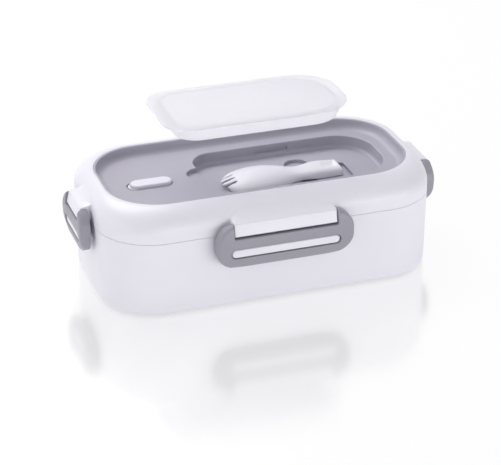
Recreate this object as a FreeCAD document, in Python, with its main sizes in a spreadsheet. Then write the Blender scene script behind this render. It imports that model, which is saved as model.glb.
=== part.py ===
import FreeCAD, Part
import math
import os
import re
import Sketcher

# An electric lunch box: a heated base, a food container and a lift-off lid held by four snap latches.
# Millimetres, origin at the middle of the underside, X along the box, Y to the back, Z up.

SIZES = {
    # Outline of the box
    "box_length": 242.5, "box_width": 133, "box_corner": 40, "seam_height": 55.4, "seam_gap": 0.4,
    "lid_height": 21.7, "wall": 2.4, "base_draft": 0.8, "base_edge": 3.5, "base_floor": 3.0, "foot_rise": 1.0,
    # Shared fits
    "clearance": 0.3, "running_gap": 0.05, "overrun": 1.0,
    # Ledge that carries the tub, and the underside
    "ledge_sink": 4.6, "ledge_width": 5.0, "ledge_depth": 1.8,
    "cover_length": 176, "cover_width": 72, "cover_corner": 16, "cover_thick": 1.6, "cover_lap": 5.0,
    "screw_inset": 9.0, "boss_radius": 3.6, "boss_rise": 6.5,
    "screw_radius": 1.5, "screw_head": 2.8, "head_depth": 1.1,
    "foot_radius": 6.0, "foot_seat": 1.0, "foot_end_inset": 31, "foot_side_inset": 24.5, "foot_edge": 0.8,
    # Inner tub
    "tub_inset": 11.75, "tub_wall": 1.6, "tub_draft": 3.0, "tub_underside": 15.6, "tub_edge": 6.0,
    # Food container
    "pan_inset": 13.25, "pan_sheet": 0.8, "pan_edge": 7.0, "pan_flange_inset": 5.5,
    # Heater
    "plate_length": 150, "plate_width": 64, "plate_corner": 12, "plate_thick": 1.6, "plate_step": 5.0,
    "seal_thick": 0.8, "step_depth": 1.2, "element_end": 11, "element_room": 39, "element_width": 16,
    "element_thick": 4.0, "element_offset": 13, "clamp_thick": 1.0, "clamp_lap": 4.0,
    "clamp_screw_inset": 15, "clamp_screw_head": 1.6, "thermostat_radius": 8.0, "thermostat_height": 5.5,
    "thermostat_inset": 16, "fuse_radius": 2.0, "fuse_length": 12, "fuse_offset": 15, "pad_thick": 2.0,
    "wire_radius": 1.0, "wire_bend": 5.0,
    # Power inlet
    "inlet_height": 9.8, "inlet_length": 20, "inlet_tall": 10.4, "inlet_corner": 4.6, "inlet_deep": 18,
    "inlet_wall": 1.2, "inlet_back": 4.0, "inlet_flange": 1.6, "inlet_flange_thick": 1.5,
    "pin_pitch": 8.6, "inlet_pin_radius": 1.2, "inlet_pin_reach": 9.0, "inlet_pin_tail": 4.0,
    # Lid
    "rim_end_inset": 11, "rim_side_inset": 16, "rim_corner": 37.5, "rim_band": 1.6, "lid_wall": 5.5,
    "shoulder_sweep": 82, "collar_wall": 2.0, "shelf_width": 3.0, "shelf_thick": 1.8, "top_skin": 2.2,
    "plug_lift": 0.2, "plug_thick": 1.6, "plug_gap": 0.6, "gasket_width": 4.5, "gasket_height": 1.8,
    "gasket_inset": 1.0,
    # Lid panel
    "panel_sink": 7.0, "panel_thick": 2.0, "panel_fit": 0.15, "panel_drop": 0.3, "panel_lip": 1.3,
    "panel_draft": 15, "panel_cove": 5.5,
    "recess_start": 73.95, "recess_end": 13.55, "recess_margin": 16.25, "recess_offset": 1.0,
    "recess_rise": 5.3, "recess_wall": 2.0, "recess_cove": 2.5,
    "recess_lip": 0.8,
    "pit_length": 18, "pit_width": 40, "pit_shift": 18, "pit_offset": 7.5, "pit_depth": 2.4,
    "slit_length": 5.0, "slit_width": 24, "notch_radius": 10, "notch_offset": 3.0, "notch_depth": 3.0,
    "snap_length": 26, "snap_height": 3.2, "snap_depth": 1.2, "snap_shift": -3.0, "snap_drop": 4.5,
    # Steam vent
    "vent_length": 30, "vent_width": 11.5, "vent_end_inset": 36, "vent_offset": -2.5, "vent_rise": 2.5,
    "vent_sink": 1.0, "vent_gap": 0.5, "vent_heel": 2.2, "vent_edge": 1.4, "vent_axle_drop": 1.1,
    "vent_axle_inset": 1.2, "vent_axle_radius": 0.7, "vent_lug_width": 5.0, "vent_lug_radius": 1.6,
    "vent_well": 3.4, "vent_well_length": 6.5, "vent_well_corner": 5.0, "vent_skirt": 1.8,
    "vent_hole_radius": 2.6, "vent_hole_inset": 6.0, "vent_tube_wall": 1.6, "stopper_drop": 2.4,
    # Latches
    "front_latch_width": 99, "side_latch_width": 51, "front_slot_length": 79.5, "side_slot_length": 37.5,
    "front_knuckle_width": 74, "side_knuckle_width": 31, "latch_corner": 14.5, "latch_drop": 29.3,
    "pivot_rise": 6.7, "pivot_offset": 6.2, "latch_round": 3.8, "latch_bulge": 70, "latch_toe": 4.2,
    "toe_inset": 0.9, "cheek_offset": 3.0, "latch_plate": 2.6, "crossbar_drop": 6.4,
    "slot_drop": 17.7, "slot_width": 7.2, "slot_side": 1.0, "knuckle_drop": 5.2, "knuckle_rise": 3.9,
    "knuckle_face": 3.4, "knuckle_lean": 2.0, "knuckle_fall": 1.2, "knuckle_edge": 1.0, "knuckle_gap": 0.5,
    "rib_gap": 0.4, "rib_side": 0.8, "latch_pin_radius": 1.25, "latch_pin_grip": 6.0,
    # Spork
    "spork_length": 92, "spork_shift": -8.4, "spork_offset": -4.5, "bowl_width": 35, "bowl_rise": 8.6,
    "spork_skin": 1.8, "tine_gap": 1.5, "tine_pitch": 4.7, "tine_length": 11, "dimple_length": 9.0,
    "dimple_width": 7.0, "dimple_corner": 1.0, "dimple_depth": 1.0, "dimple_inset": 8.0,
    # Cutlery cover, floating above the lid as it is lifted off
    "lid_lap": 2.0, "lid_skin": 1.5, "skirt_depth": 8.4, "skirt_left": 6.2, "skirt_right": 3.5,
    "skirt_side": 0.6, "lift_along": -31.5, "lift_up": 50,
}

# Heights and outlines that follow from the sizes
LEDGE = "(seam_height - ledge_sink)"
LID_BOTTOM = "(seam_height + seam_gap)"
RIM = f"({LID_BOTTOM} + lid_height)"
PANEL_TOP = f"({RIM} - panel_sink)"
PLUG_TOP = f"({LID_BOTTOM} + plug_lift)"
RECESS_FLOOR = f"({PLUG_TOP} + recess_rise)"
PIVOT = f"({LID_BOTTOM} + pivot_rise)"
LATCH_BOTTOM = f"({PIVOT} - latch_drop)"
RIM_OUTLINE = ("(box_length - 2 * rim_end_inset)", "(box_width - 2 * rim_side_inset)", "rim_corner")
SAME = 1e-4

doc = FreeCAD.newDocument("electric_lunch_box")
sheet = doc.addObject("Spreadsheet::Sheet", "Sizes")
for row, (alias, size) in enumerate(SIZES.items(), start=1):
    sheet.set(f"A{row}", alias)
    sheet.set(f"B{row}", str(size))
    sheet.setAlias(f"B{row}", alias)
doc.recompute()

parts = []


def linked(text):
    """An expression in plain size names, as one that refers to the sheet."""
    return re.sub(r"[a-z_]+", lambda word: f"Sizes.{word[0]}" if word[0] in SIZES else word[0], text)


def value(text):
    """The present value of an expression in size names."""
    return float(sheet.evalExpression(linked(text)))


def bind(item, path, text):
    item.setExpression(path, linked(text))


def new_body(label, several=False):
    body = doc.addObject("PartDesign::Body", label)
    body.Label = label
    body.AllowCompound = several
    parts.append(body)
    return body


def origin_plane(body, role):
    return next(plane for plane in body.Origin.OriginFeatures if plane.Role == role)


def new_sketch(body, plane, out="0", across="0", up="0"):
    """A sketch on one of the body's planes, moved along its normal and within it."""
    sketch = body.newObject("Sketcher::SketchObject", "Outline")
    sketch.AttachmentSupport = [(origin_plane(body, plane), "")]
    sketch.MapMode = "FlatFace"
    for axis, text in (("x", across), ("y", up), ("z", out)):
        bind(sketch, f"AttachmentOffset.Base.{axis}", text)
    return sketch


def hold(sketch, kind, *places, size):
    """A dimension that follows an expression."""
    index = sketch.addConstraint(Sketcher.Constraint(kind, *places, value(size)))
    sketch.renameConstraint(index, f"size{index}")
    bind(sketch, f"Constraints.size{index}", size)


def vector(across, up):
    return FreeCAD.Vector(across, up, 0)


def arc(centre, radius, start, end):
    return Part.ArcOfCircle(Part.Circle(centre, FreeCAD.Vector(0, 0, 1), radius), start, end)


def rounded(sketch, length, width, corner, right_corner=None):
    """A rounded rectangle about the sketch's origin; the right corners can differ from the left ones."""
    right_corner = right_corner or corner
    along, across = value(length) / 2, value(width) / 2
    left, right = value(corner), value(right_corner)
    quarter = math.pi / 2
    low = Part.LineSegment(vector(left - along, -across), vector(along - right, -across))
    low_right = arc(vector(along - right, right - across), right, -quarter, 0)
    right_side = Part.LineSegment(vector(along, right - across), vector(along, across - right))
    top_right = arc(vector(along - right, across - right), right, 0, quarter)
    top = Part.LineSegment(vector(along - right, across), vector(left - along, across))
    top_left = arc(vector(left - along, across - left), left, quarter, 2 * quarter)
    left_side = Part.LineSegment(vector(-along, across - left), vector(-along, left - across))
    low_left = arc(vector(left - along, left - across), left, 2 * quarter, 3 * quarter)
    lines = [low, low_right, right_side, top_right, top, top_left, left_side, low_left]
    first = sketch.addGeometry(lines, False)[0]
    for step in range(8):
        sketch.addConstraint(Sketcher.Constraint("Tangent", first + step, 2, first + (step + 1) % 8, 1))
    for step in (0, 4):
        sketch.addConstraint(Sketcher.Constraint("Horizontal", first + step))
        sketch.addConstraint(Sketcher.Constraint("Vertical", first + step + 2))
    sketch.addConstraint(Sketcher.Constraint("Equal", first + 1, first + 3))
    sketch.addConstraint(Sketcher.Constraint("Equal", first + 5, first + 7))
    hold(sketch, "Radius", first + 1, size=right_corner)
    hold(sketch, "Radius", first + 5, size=corner)
    hold(sketch, "DistanceX", first + 6, 1, first + 2, 1, size=length)
    hold(sketch, "DistanceX", -1, 1, first + 2, 1, size=f"({length}) / 2")
    hold(sketch, "DistanceY", first, 1, first + 4, 1, size=width)
    hold(sketch, "DistanceY", -1, 1, first + 4, 1, size=f"({width}) / 2")


def slot(sketch, length, width):
    """A straight slot with round ends about the sketch's origin."""
    reach, radius = (value(length) - value(width)) / 2, value(width) / 2
    quarter = math.pi / 2
    low = Part.LineSegment(vector(-reach, -radius), vector(reach, -radius))
    right = arc(vector(reach, 0), radius, -quarter, quarter)
    top = Part.LineSegment(vector(reach, radius), vector(-reach, radius))
    left = arc(vector(-reach, 0), radius, quarter, 3 * quarter)
    first = sketch.addGeometry([low, right, top, left], False)[0]
    for step in range(4):
        sketch.addConstraint(Sketcher.Constraint("Tangent", first + step, 2, first + (step + 1) % 4, 1))
    sketch.addConstraint(Sketcher.Constraint("Horizontal", first))
    sketch.addConstraint(Sketcher.Constraint("Equal", first + 1, first + 3))
    sketch.addConstraint(Sketcher.Constraint("PointOnObject", first + 1, 3, -1))
    hold(sketch, "Radius", first + 1, size=f"({width}) / 2")
    hold(sketch, "DistanceX", -1, 1, first + 1, 3, size=f"({length} - ({width})) / 2")
    hold(sketch, "DistanceX", first + 3, 3, -1, 1, size=f"({length} - ({width})) / 2")


def place(sketch, geometry, corner, across, up):
    """Pin one point of a sketch to a place given from the sketch's origin."""
    if across == "0":
        sketch.addConstraint(Sketcher.Constraint("PointOnObject", geometry, corner, -2))
    else:
        hold(sketch, "DistanceX", -1, 1, geometry, corner, size=across)
    if up == "0":
        sketch.addConstraint(Sketcher.Constraint("PointOnObject", geometry, corner, -1))
    else:
        hold(sketch, "DistanceY", -1, 1, geometry, corner, size=up)


def circle(sketch, radius, across="0", up="0"):
    centre = vector(value(across), value(up))
    first = sketch.addGeometry(Part.Circle(centre, FreeCAD.Vector(0, 0, 1), value(radius)), False)
    hold(sketch, "Radius", first, size=radius)
    place(sketch, first, 3, across, up)


def four_circles(sketch, radius, along, across):
    for side_along in (f"-({along})", along):
        for side_across in (f"-({across})", across):
            circle(sketch, radius, side_along, side_across)


def profile(sketch, points):
    """A closed outline. A point with a third entry is reached on an arc of that radius, which bulges
    to the right of the way there."""
    spots = [vector(value(point[0]), value(point[1])) for point in points]
    ends = []
    for step, point in enumerate(points):
        start, end = spots[step - 1], spots[step]
        if len(point) == 2:
            geometry = sketch.addGeometry(Part.LineSegment(start, end), False)
            ends.append((geometry, 1, 2))
            continue
        radius = value(point[2])
        chord = end - start
        rise = math.sqrt(max(radius**2 - (chord.Length / 2) ** 2, 0))
        left = FreeCAD.Vector(-chord.y, chord.x, 0).normalize()
        centre = (start + end) / 2 + left * rise
        from_angle = math.atan2(start.y - centre.y, start.x - centre.x)
        to_angle = math.atan2(end.y - centre.y, end.x - centre.x)
        if to_angle <= from_angle:
            to_angle += 2 * math.pi
        geometry = sketch.addGeometry(arc(centre, radius, from_angle, to_angle), False)
        ends.append((geometry, 1, 2))
        hold(sketch, "Radius", geometry, size=point[2])
    for step, point in enumerate(points):
        geometry, _, finish = ends[step]
        after, begin, _ = ends[(step + 1) % len(points)]
        sketch.addConstraint(Sketcher.Constraint("Coincident", geometry, finish, after, begin))
        place(sketch, geometry, finish, point[0], point[1])


def extrude(body, kind, sketch, length, back=False, both=False, taper=None):
    feature = body.newObject(f"PartDesign::{kind}", kind)
    feature.Profile = sketch
    bind(feature, "Length", length)
    feature.Reversed = back
    if both:
        feature.SideType = "Symmetric"
    if taper:
        bind(feature, "TaperAngle", taper)
    return feature


def pad(body, sketch, length, **options):
    return extrude(body, "Pad", sketch, length, **options)


def pocket(body, sketch, length, **options):
    """A cut that has to take something away."""
    doc.recompute()
    before = body.Shape.Volume
    feature = extrude(body, "Pocket", sketch, length, **options)
    doc.recompute()
    if not body.Shape.Volume < before:
        raise RuntimeError(f"a cut in {body.Label} takes nothing away")
    return feature


def mirrored(body, features, plane):
    mirror = body.newObject("PartDesign::Mirrored", "Mirrored")
    mirror.Originals = features
    mirror.MirrorPlane = (origin_plane(body, plane), [""])
    body.Tip = mirror
    return mirror


def fillet(body, radius, chosen):
    """Round the edges of the body so far that the given test picks."""
    doc.recompute()
    base = body.Tip
    edges = [f"Edge{number}" for number, edge in enumerate(base.Shape.Edges, start=1) if chosen(edge)]
    if not edges:
        raise RuntimeError(f"no edge to round in {body.Label}")
    feature = body.newObject("PartDesign::Fillet", "Fillet")
    feature.Base = (base, edges)
    bind(feature, "Radius", radius)
    doc.recompute()
    return feature


def flat_at(edge, height):
    """Whether an edge lies at one height."""
    box = edge.BoundBox
    return abs(box.ZMin - value(height)) < SAME and abs(box.ZMax - value(height)) < SAME


def loft(body, sketches, cut=False):
    feature = body.newObject("PartDesign::SubtractiveLoft" if cut else "PartDesign::AdditiveLoft", "Loft")
    feature.Profile = sketches[0]
    feature.Sections = sketches[1:]
    return feature


def ring(body, height, length, width, corner, inner_length, inner_width, inner_corner, thick, back=False):
    sketch = new_sketch(body, "XY_Plane", height)
    rounded(sketch, length, width, corner)
    rounded(sketch, inner_length, inner_width, inner_corner)
    return pad(body, sketch, thick, back=back)


def slab(body, height, length, width, corner, thick, back=False, taper=None, across="0", up="0", right=None):
    sketch = new_sketch(body, "XY_Plane", height, across, up)
    rounded(sketch, length, width, corner, right)
    return pad(body, sketch, thick, back=back, taper=taper)


def hollow(body, height, length, width, corner, deep, back=False, taper=None, across="0", up="0", right=None):
    sketch = new_sketch(body, "XY_Plane", height, across, up)
    rounded(sketch, length, width, corner, right)
    return pocket(body, sketch, deep, back=back, taper=taper)


def inside(inset):
    """Length, width and corner of the box outline, drawn in by an inset."""
    return f"box_length - 2 * ({inset})", f"box_width - 2 * ({inset})", f"box_corner - ({inset})"


def grown(length, width, corner, by):
    return f"{length} + 2 * ({by})", f"{width} + 2 * ({by})", f"{corner} + ({by})"


# Lower housing: a drafted shell with a rounded foot edge
base = new_body("base_shell")
slab(base, "seam_height", *inside("0"), "seam_height - foot_rise", back=True, taper="-base_draft")
fillet(base, "base_edge", lambda edge: flat_at(edge, "foot_rise"))
hollow(base, "seam_height", *inside("wall"), "seam_height - foot_rise - base_floor", taper="-base_draft")
ring(base, LEDGE, *inside("wall / 2"), *inside("wall + ledge_width"), "ledge_depth", back=True)

# A catch rib under each latch, which the latch's slot closes over
RIB_REACH = "pivot_offset + latch_round - latch_plate - rib_gap"
RIB_SITES = (("XZ_Plane", "box_width", "front_slot_length"), ("YZ_Plane", "box_length", "side_slot_length"))
for plane, span, slot_length in RIB_SITES:
    outline = new_sketch(base, plane, f"{span} / 2 - wall / 2", up=f"{PIVOT} - slot_drop")
    slot(outline, f"{slot_length} - 2 * slot_side", "slot_width - 2 * rib_side")
    rib = pad(base, outline, f"{RIB_REACH} + wall / 2")
    mirrored(base, [rib], plane)

# Underside: stepped opening for the cover, screw bosses, seats for the feet
hollow(base, "foot_rise", *grown("cover_length", "cover_width", "cover_corner", "clearance"), "cover_thick",
       back=True)
hollow(base, "foot_rise", *grown("cover_length", "cover_width", "cover_corner", "-cover_lap"),
       "base_floor + overrun", back=True)
SCREWS = ("cover_length / 2 - screw_inset", "cover_width / 2 - screw_inset")
FEET = ("box_length / 2 - foot_end_inset", "box_width / 2 - foot_side_inset")
bosses = new_sketch(base, "XY_Plane", "foot_rise + cover_thick")
four_circles(bosses, "boss_radius", *SCREWS)
pad(base, bosses, "boss_rise")
pilots = new_sketch(base, "XY_Plane", "foot_rise")
four_circles(pilots, "screw_radius + running_gap", *SCREWS)
pocket(base, pilots, "cover_thick + boss_rise - wall", back=True)
seats = new_sketch(base, "XY_Plane", "foot_rise")
four_circles(seats, "foot_radius + running_gap", *FEET)
pocket(base, seats, "foot_seat", back=True)

# Opening for the power inlet in the rear wall
INLET_FACE = "box_width / 2 - (seam_height - inlet_height) * tan(base_draft)"
opening = new_sketch(base, "XZ_Plane", "2 * wall - box_width / 2", up="inlet_height")
rounded(opening, *grown("inlet_length", "inlet_tall", "inlet_corner", "running_gap"))
pocket(base, opening, "2 * wall + overrun")

# Bottom cover with countersunk seats, its screws and the rubber feet
cover = new_body("bottom_cover")
slab(cover, "foot_rise", "cover_length", "cover_width", "cover_corner", "cover_thick")
holes = new_sketch(cover, "XY_Plane", "foot_rise")
four_circles(holes, "screw_radius + clearance", *SCREWS)
pocket(cover, holes, "cover_thick", back=True)
sinks = new_sketch(cover, "XY_Plane", "foot_rise")
four_circles(sinks, "screw_head + clearance", *SCREWS)
pocket(cover, sinks, "head_depth", back=True)

screws = new_body("bottom_screws", several=True)
heads = new_sketch(screws, "XY_Plane", "foot_rise")
four_circles(heads, "screw_head", *SCREWS)
pad(screws, heads, "head_depth")
shanks = new_sketch(screws, "XY_Plane", "foot_rise")
four_circles(shanks, "screw_radius", *SCREWS)
pad(screws, shanks, "cover_thick + boss_rise - wall - clearance")

feet = new_body("rubber_feet", several=True)
rounds = new_sketch(feet, "XY_Plane")
four_circles(rounds, "foot_radius", *FEET)
pad(feet, rounds, "foot_rise + foot_seat")
fillet(feet, "foot_edge", lambda edge: flat_at(edge, "0"))

# Inner tub: hangs by its flange on the ledge and carries the heater in its floor
PLATE_OPENING = grown("plate_length", "plate_width", "plate_corner", "-plate_step")
tub = new_body("base_liner")
slab(tub, LEDGE, *inside("tub_inset - tub_wall"), f"{LEDGE} - tub_underside", back=True, taper="-tub_draft")
slab(tub, LEDGE, *inside("wall + clearance"), "tub_wall")
hollow(tub, f"{LEDGE} + tub_wall", *inside("tub_inset"), f"{LEDGE} - tub_underside", taper="-tub_draft")
fillet(tub, "tub_edge", lambda edge: flat_at(edge, "tub_underside + tub_wall"))
fillet(tub, "tub_edge + tub_wall", lambda edge: flat_at(edge, "tub_underside"))
hollow(tub, "tub_underside", *grown(*PLATE_OPENING, "clearance"), "tub_wall", back=True)

# Heating plate on its seal: a wide rim on the tub floor, a step through the opening
PLATE_UNDERSIDE = "tub_underside + tub_wall + seal_thick"
STEP_UNDERSIDE = f"{PLATE_UNDERSIDE} - step_depth"
plate = new_body("heater_plate")
slab(plate, PLATE_UNDERSIDE, "plate_length", "plate_width", "plate_corner", "plate_thick")
slab(plate, PLATE_UNDERSIDE, *PLATE_OPENING, "step_depth", back=True)

seal = new_body("heater_seal")
ring(seal, "tub_underside + tub_wall", *grown("plate_length", "plate_width", "plate_corner", "-clearance"),
     *grown(*PLATE_OPENING, "clearance"), "seal_thick")

# Two heating bars under the plate, held up by a clamp plate and two screws between them
ELEMENT_LENGTH = "(plate_length - 2 * plate_step - element_end - element_room)"
ELEMENT_MIDDLE = "((element_end - element_room) / 2)"
elements = new_body("ptc_elements", several=True)
for side in ("element_offset", "-element_offset"):
    bar = new_sketch(elements, "XY_Plane", STEP_UNDERSIDE, ELEMENT_MIDDLE, side)
    rounded(bar, ELEMENT_LENGTH, "element_width", "clamp_thick")
    pad(elements, bar, "element_thick", back=True)

CLAMP_TOP = f"{STEP_UNDERSIDE} - element_thick"
CLAMP_WIDTH = "2 * element_offset + element_width"
clamp = new_body("element_clamp")
slab(clamp, CLAMP_TOP, f"{ELEMENT_LENGTH} + 2 * clamp_lap", CLAMP_WIDTH, "clamp_lap", "clamp_thick",
     back=True, across=ELEMENT_MIDDLE)
CLAMP_SITES = tuple(f"{ELEMENT_MIDDLE} {way} ({ELEMENT_LENGTH} / 2 - clamp_screw_inset)" for way in "-+")
drill = new_sketch(clamp, "XY_Plane", CLAMP_TOP)
for site in CLAMP_SITES:
    circle(drill, "screw_radius + clearance", site)
pocket(clamp, drill, "clamp_thick")

threads = new_sketch(plate, "XY_Plane", STEP_UNDERSIDE)
for site in CLAMP_SITES:
    circle(threads, "screw_radius + running_gap", site)
pocket(plate, threads, "step_depth + plate_thick / 2", back=True)

clamp_screws = new_body("clamp_screws", several=True)
for radius, thick, back in (("screw_head", "clamp_screw_head", True),
                            ("screw_radius", "clamp_thick + element_thick + step_depth", False)):
    outline = new_sketch(clamp_screws, "XY_Plane", f"{CLAMP_TOP} - clamp_thick")
    for site in CLAMP_SITES:
        circle(outline, radius, site)
    pad(clamp_screws, outline, thick, back=back)

# Thermostat and thermal fuse against the underside of the plate
THERMOSTAT_X = "(plate_length / 2 - plate_step - thermostat_inset)"
thermostat = new_body("thermostat")
case = new_sketch(thermostat, "XY_Plane", STEP_UNDERSIDE, THERMOSTAT_X)
circle(case, "thermostat_radius")
pad(thermostat, case, "thermostat_height", back=True)
blades = new_sketch(thermostat, "XY_Plane", f"{STEP_UNDERSIDE} - thermostat_height", THERMOSTAT_X)
rounded(blades, "thermostat_radius", "thermostat_radius / 2", "clamp_thick")
pad(thermostat, blades, "clamp_thick", back=True)

fuse = new_body("thermal_fuse")
tube = new_sketch(fuse, "YZ_Plane", f"{THERMOSTAT_X} - fuse_length / 2", "-fuse_offset",
                  f"{STEP_UNDERSIDE} - fuse_radius")
circle(tube, "fuse_radius")
pad(fuse, tube, "fuse_length")

# Insulation felt on the inside of the bottom cover
felt = new_body("insulation_pad")
slab(felt, "foot_rise + cover_thick", *grown("cover_length", "cover_width", "cover_corner",
                                             "-cover_lap - 3 * boss_radius"), "pad_thick")

# Power inlet: a moulded cup in the rear wall with two contact pins
inlet = new_body("power_inlet")
mouth = new_sketch(inlet, "XZ_Plane", f"-({INLET_FACE})", up="inlet_height")
rounded(mouth, "inlet_length", "inlet_tall", "inlet_corner")
pad(inlet, mouth, "inlet_deep")
collar = new_sketch(inlet, "XZ_Plane", "wall + seam_gap - box_width / 2 + inlet_flange", up="inlet_height")
rounded(collar, "inlet_length + 2 * inlet_flange", "inlet_tall", "inlet_corner")
pad(inlet, collar, "inlet_flange_thick")
cup = new_sketch(inlet, "XZ_Plane", f"inlet_deep - inlet_back - ({INLET_FACE})", up="inlet_height")
rounded(cup, *grown("inlet_length", "inlet_tall", "inlet_corner", "-inlet_wall"))
pocket(inlet, cup, "inlet_deep")
seat = new_sketch(inlet, "XZ_Plane", f"-({INLET_FACE})", up="inlet_height")
for site in ("-pin_pitch / 2", "pin_pitch / 2"):
    circle(seat, "inlet_pin_radius + running_gap", site)
pocket(inlet, seat, "inlet_deep + overrun", back=True)

pins = new_body("inlet_pins", several=True)
rods = new_sketch(pins, "XZ_Plane", f"inlet_deep - inlet_back - inlet_pin_reach - ({INLET_FACE})",
                  up="inlet_height")
for site in ("-pin_pitch / 2", "pin_pitch / 2"):
    circle(rods, "inlet_pin_radius", site)
pad(pins, rods, "inlet_pin_reach + inlet_back + inlet_pin_tail")


# Lead wires: straight runs and quarter bends, each a round section along its path
def wire_solid(points, radius, bend):
    spots = [FreeCAD.Vector(*point) for point in points]
    edges = []
    start = spots[0]
    for before, corner, after in zip(spots, spots[1:], spots[2:]):
        arrive = (corner - before).normalize()
        leave = (after - corner).normalize()
        entry = corner - arrive * bend
        way_out = corner + leave * bend
        inner = entry + leave * bend
        middle = inner + (corner - inner).normalize() * bend
        edges.append(Part.LineSegment(start, entry).toShape())
        edges.append(Part.Arc(entry, middle, way_out).toShape())
        start = way_out
    edges.append(Part.LineSegment(start, spots[-1]).toShape())
    path = Part.Wire(edges)
    section = Part.Wire(Part.makeCircle(radius, spots[0], spots[1] - spots[0]))
    return path.makePipeShell([section], True, False)


wire_radius = value("wire_radius")
tail_end = value(f"{INLET_FACE} - inlet_deep - inlet_pin_tail - running_gap")
pin_side = value("pin_pitch / 2")
wire_height = value("inlet_height")
blade = value("thermostat_radius / 4")
thermostat_spot = value(THERMOSTAT_X)
turn_line = tail_end - value("2 * wire_bend")
live = [(pin_side, tail_end, wire_height), (pin_side, turn_line, wire_height),
        (thermostat_spot, turn_line, wire_height), (thermostat_spot, blade, wire_height)]
leads = doc.addObject("Part::Feature", "lead_wires")
leads.Label = "lead_wires"
leads.Shape = wire_solid(live, wire_radius, value("wire_bend"))
parts.append(leads)

# Food container: a drawn steel pan that rests on the heating plate and its flange on the tub
PAN_UNDERSIDE = f"{PLATE_UNDERSIDE} + plate_thick"
FLANGE_UNDERSIDE = f"({LEDGE} + tub_wall)"
pan = new_body("food_container")
slab(pan, FLANGE_UNDERSIDE, *inside("pan_inset"), f"{FLANGE_UNDERSIDE} - ({PAN_UNDERSIDE})", back=True,
     taper="-tub_draft")
slab(pan, FLANGE_UNDERSIDE, *inside("pan_flange_inset"), "pan_sheet")
hollow(pan, f"{FLANGE_UNDERSIDE} + pan_sheet", *inside("pan_inset + pan_sheet"),
       f"{FLANGE_UNDERSIDE} - ({PAN_UNDERSIDE})", taper="-tub_draft")
fillet(pan, "pan_edge - pan_sheet", lambda edge: flat_at(edge, f"{PAN_UNDERSIDE} + pan_sheet"))
fillet(pan, "pan_edge", lambda edge: flat_at(edge, PAN_UNDERSIDE))

# Lid shell: its shoulder follows an ellipse from the upright seam to the crest round the panel
STATION_SHARES = (0, 0.2, 0.4, 0.6, 0.8, 1)
CREST = grown(*RIM_OUTLINE, "rim_band")


def shoulder(body, skin, top):
    """Sections of the shoulder, drawn in by a skin, up to a height below the crest."""
    sections = []
    for share in STATION_SHARES:
        inset_share = f"(1 - cos({share} * shoulder_sweep)) / (1 - cos(shoulder_sweep))"
        rise_share = f"sin({share} * shoulder_sweep) / sin(shoulder_sweep)"
        height = f"{LID_BOTTOM} + lid_wall + (lid_height - lid_wall - ({top})) * {rise_share}"
        sketch = new_sketch(body, "XY_Plane", height)
        outline = [f"{full} - ({full} - ({crest})) * {inset_share} - {sides} * ({skin})"
                   for full, crest, sides in zip(inside("0"), CREST, (2, 2, 1))]
        rounded(sketch, *outline)
        sections.append(sketch)
    return sections


lid = new_body("lid_shell")
slab(lid, LID_BOTTOM, *inside("0"), "lid_wall")
loft(lid, shoulder(lid, "0", "0"))

# A knuckle for each latch: a block with a leaning face and a roof that falls a little towards it
KNUCKLE_SITES = (("YZ_Plane", "XZ_Plane", "-1", "box_width", "front_knuckle_width"),
                 ("XZ_Plane", "YZ_Plane", "1", "box_length", "side_knuckle_width"))
for plane, mirror_plane, side, span, knuckle_width in KNUCKLE_SITES:
    face = f"{side} * ({span} / 2 + pivot_offset + knuckle_face)"
    brow = f"{side} * ({span} / 2 + pivot_offset + knuckle_face - knuckle_lean)"
    root = f"{side} * ({span} / 2 - wall + seam_gap)"
    foot = f"{PIVOT} - knuckle_drop"
    outline = new_sketch(lid, plane)
    profile(outline, [(root, foot), (face, foot), (brow, f"{PIVOT} + knuckle_rise"),
                      (root, f"{PIVOT} + knuckle_rise + knuckle_fall")])
    block = pad(lid, outline, knuckle_width, both=True)
    mirrored(lid, [block], mirror_plane)


def on_knuckle_face(edge):
    """Whether an edge borders a knuckle's front face."""
    middle = edge.CenterOfMass
    reach = value("pivot_offset + knuckle_face - knuckle_lean") - SAME
    return max(abs(middle.y) - value("box_width / 2"), abs(middle.x) - value("box_length / 2")) > reach


fillet(lid, "knuckle_edge", on_knuckle_face)
hollow(lid, LID_BOTTOM, *inside("wall"), "lid_wall", back=True)
loft(lid, shoulder(lid, "wall", "top_skin"), cut=True)
hollow(lid, f"{RIM} + overrun", *RIM_OUTLINE, "lid_height")
SHELF_TOP = f"({PANEL_TOP} - panel_thick)"
COLLAR = grown(*RIM_OUTLINE, "collar_wall")
SHELF_BOTTOM = f"({SHELF_TOP} - shelf_thick)"
ring(lid, SHELF_BOTTOM, *COLLAR, *RIM_OUTLINE, f"{RIM} - rim_band - {SHELF_BOTTOM}")
ring(lid, SHELF_BOTTOM, *COLLAR, *grown(*RIM_OUTLINE, "-shelf_width"), "shelf_thick")
PIN_BORE = "latch_pin_radius + running_gap"
for plane, _, _, span, knuckle_width in KNUCKLE_SITES:
    bore = new_sketch(lid, plane)
    for way in ("1", "-1"):
        circle(bore, PIN_BORE, f"{way} * ({span} / 2 + pivot_offset)", PIVOT)
    pocket(lid, bore, f"{knuckle_width} + overrun", both=True)

# Hinge pins of the latches
PIN_PAIRS = (("latch_pins_long", "YZ_Plane", "box_width", "front_knuckle_width"),
             ("latch_pins_short", "XZ_Plane", "box_length", "side_knuckle_width"))
for label, plane, span, knuckle_width in PIN_PAIRS:
    pin_pair = new_body(label, several=True)
    rods = new_sketch(pin_pair, plane)
    for way in ("1", "-1"):
        circle(rods, "latch_pin_radius", f"{way} * ({span} / 2 + pivot_offset)", PIVOT)
    pad(pin_pair, rods, f"{knuckle_width} + 2 * latch_pin_grip", both=True)

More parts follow.
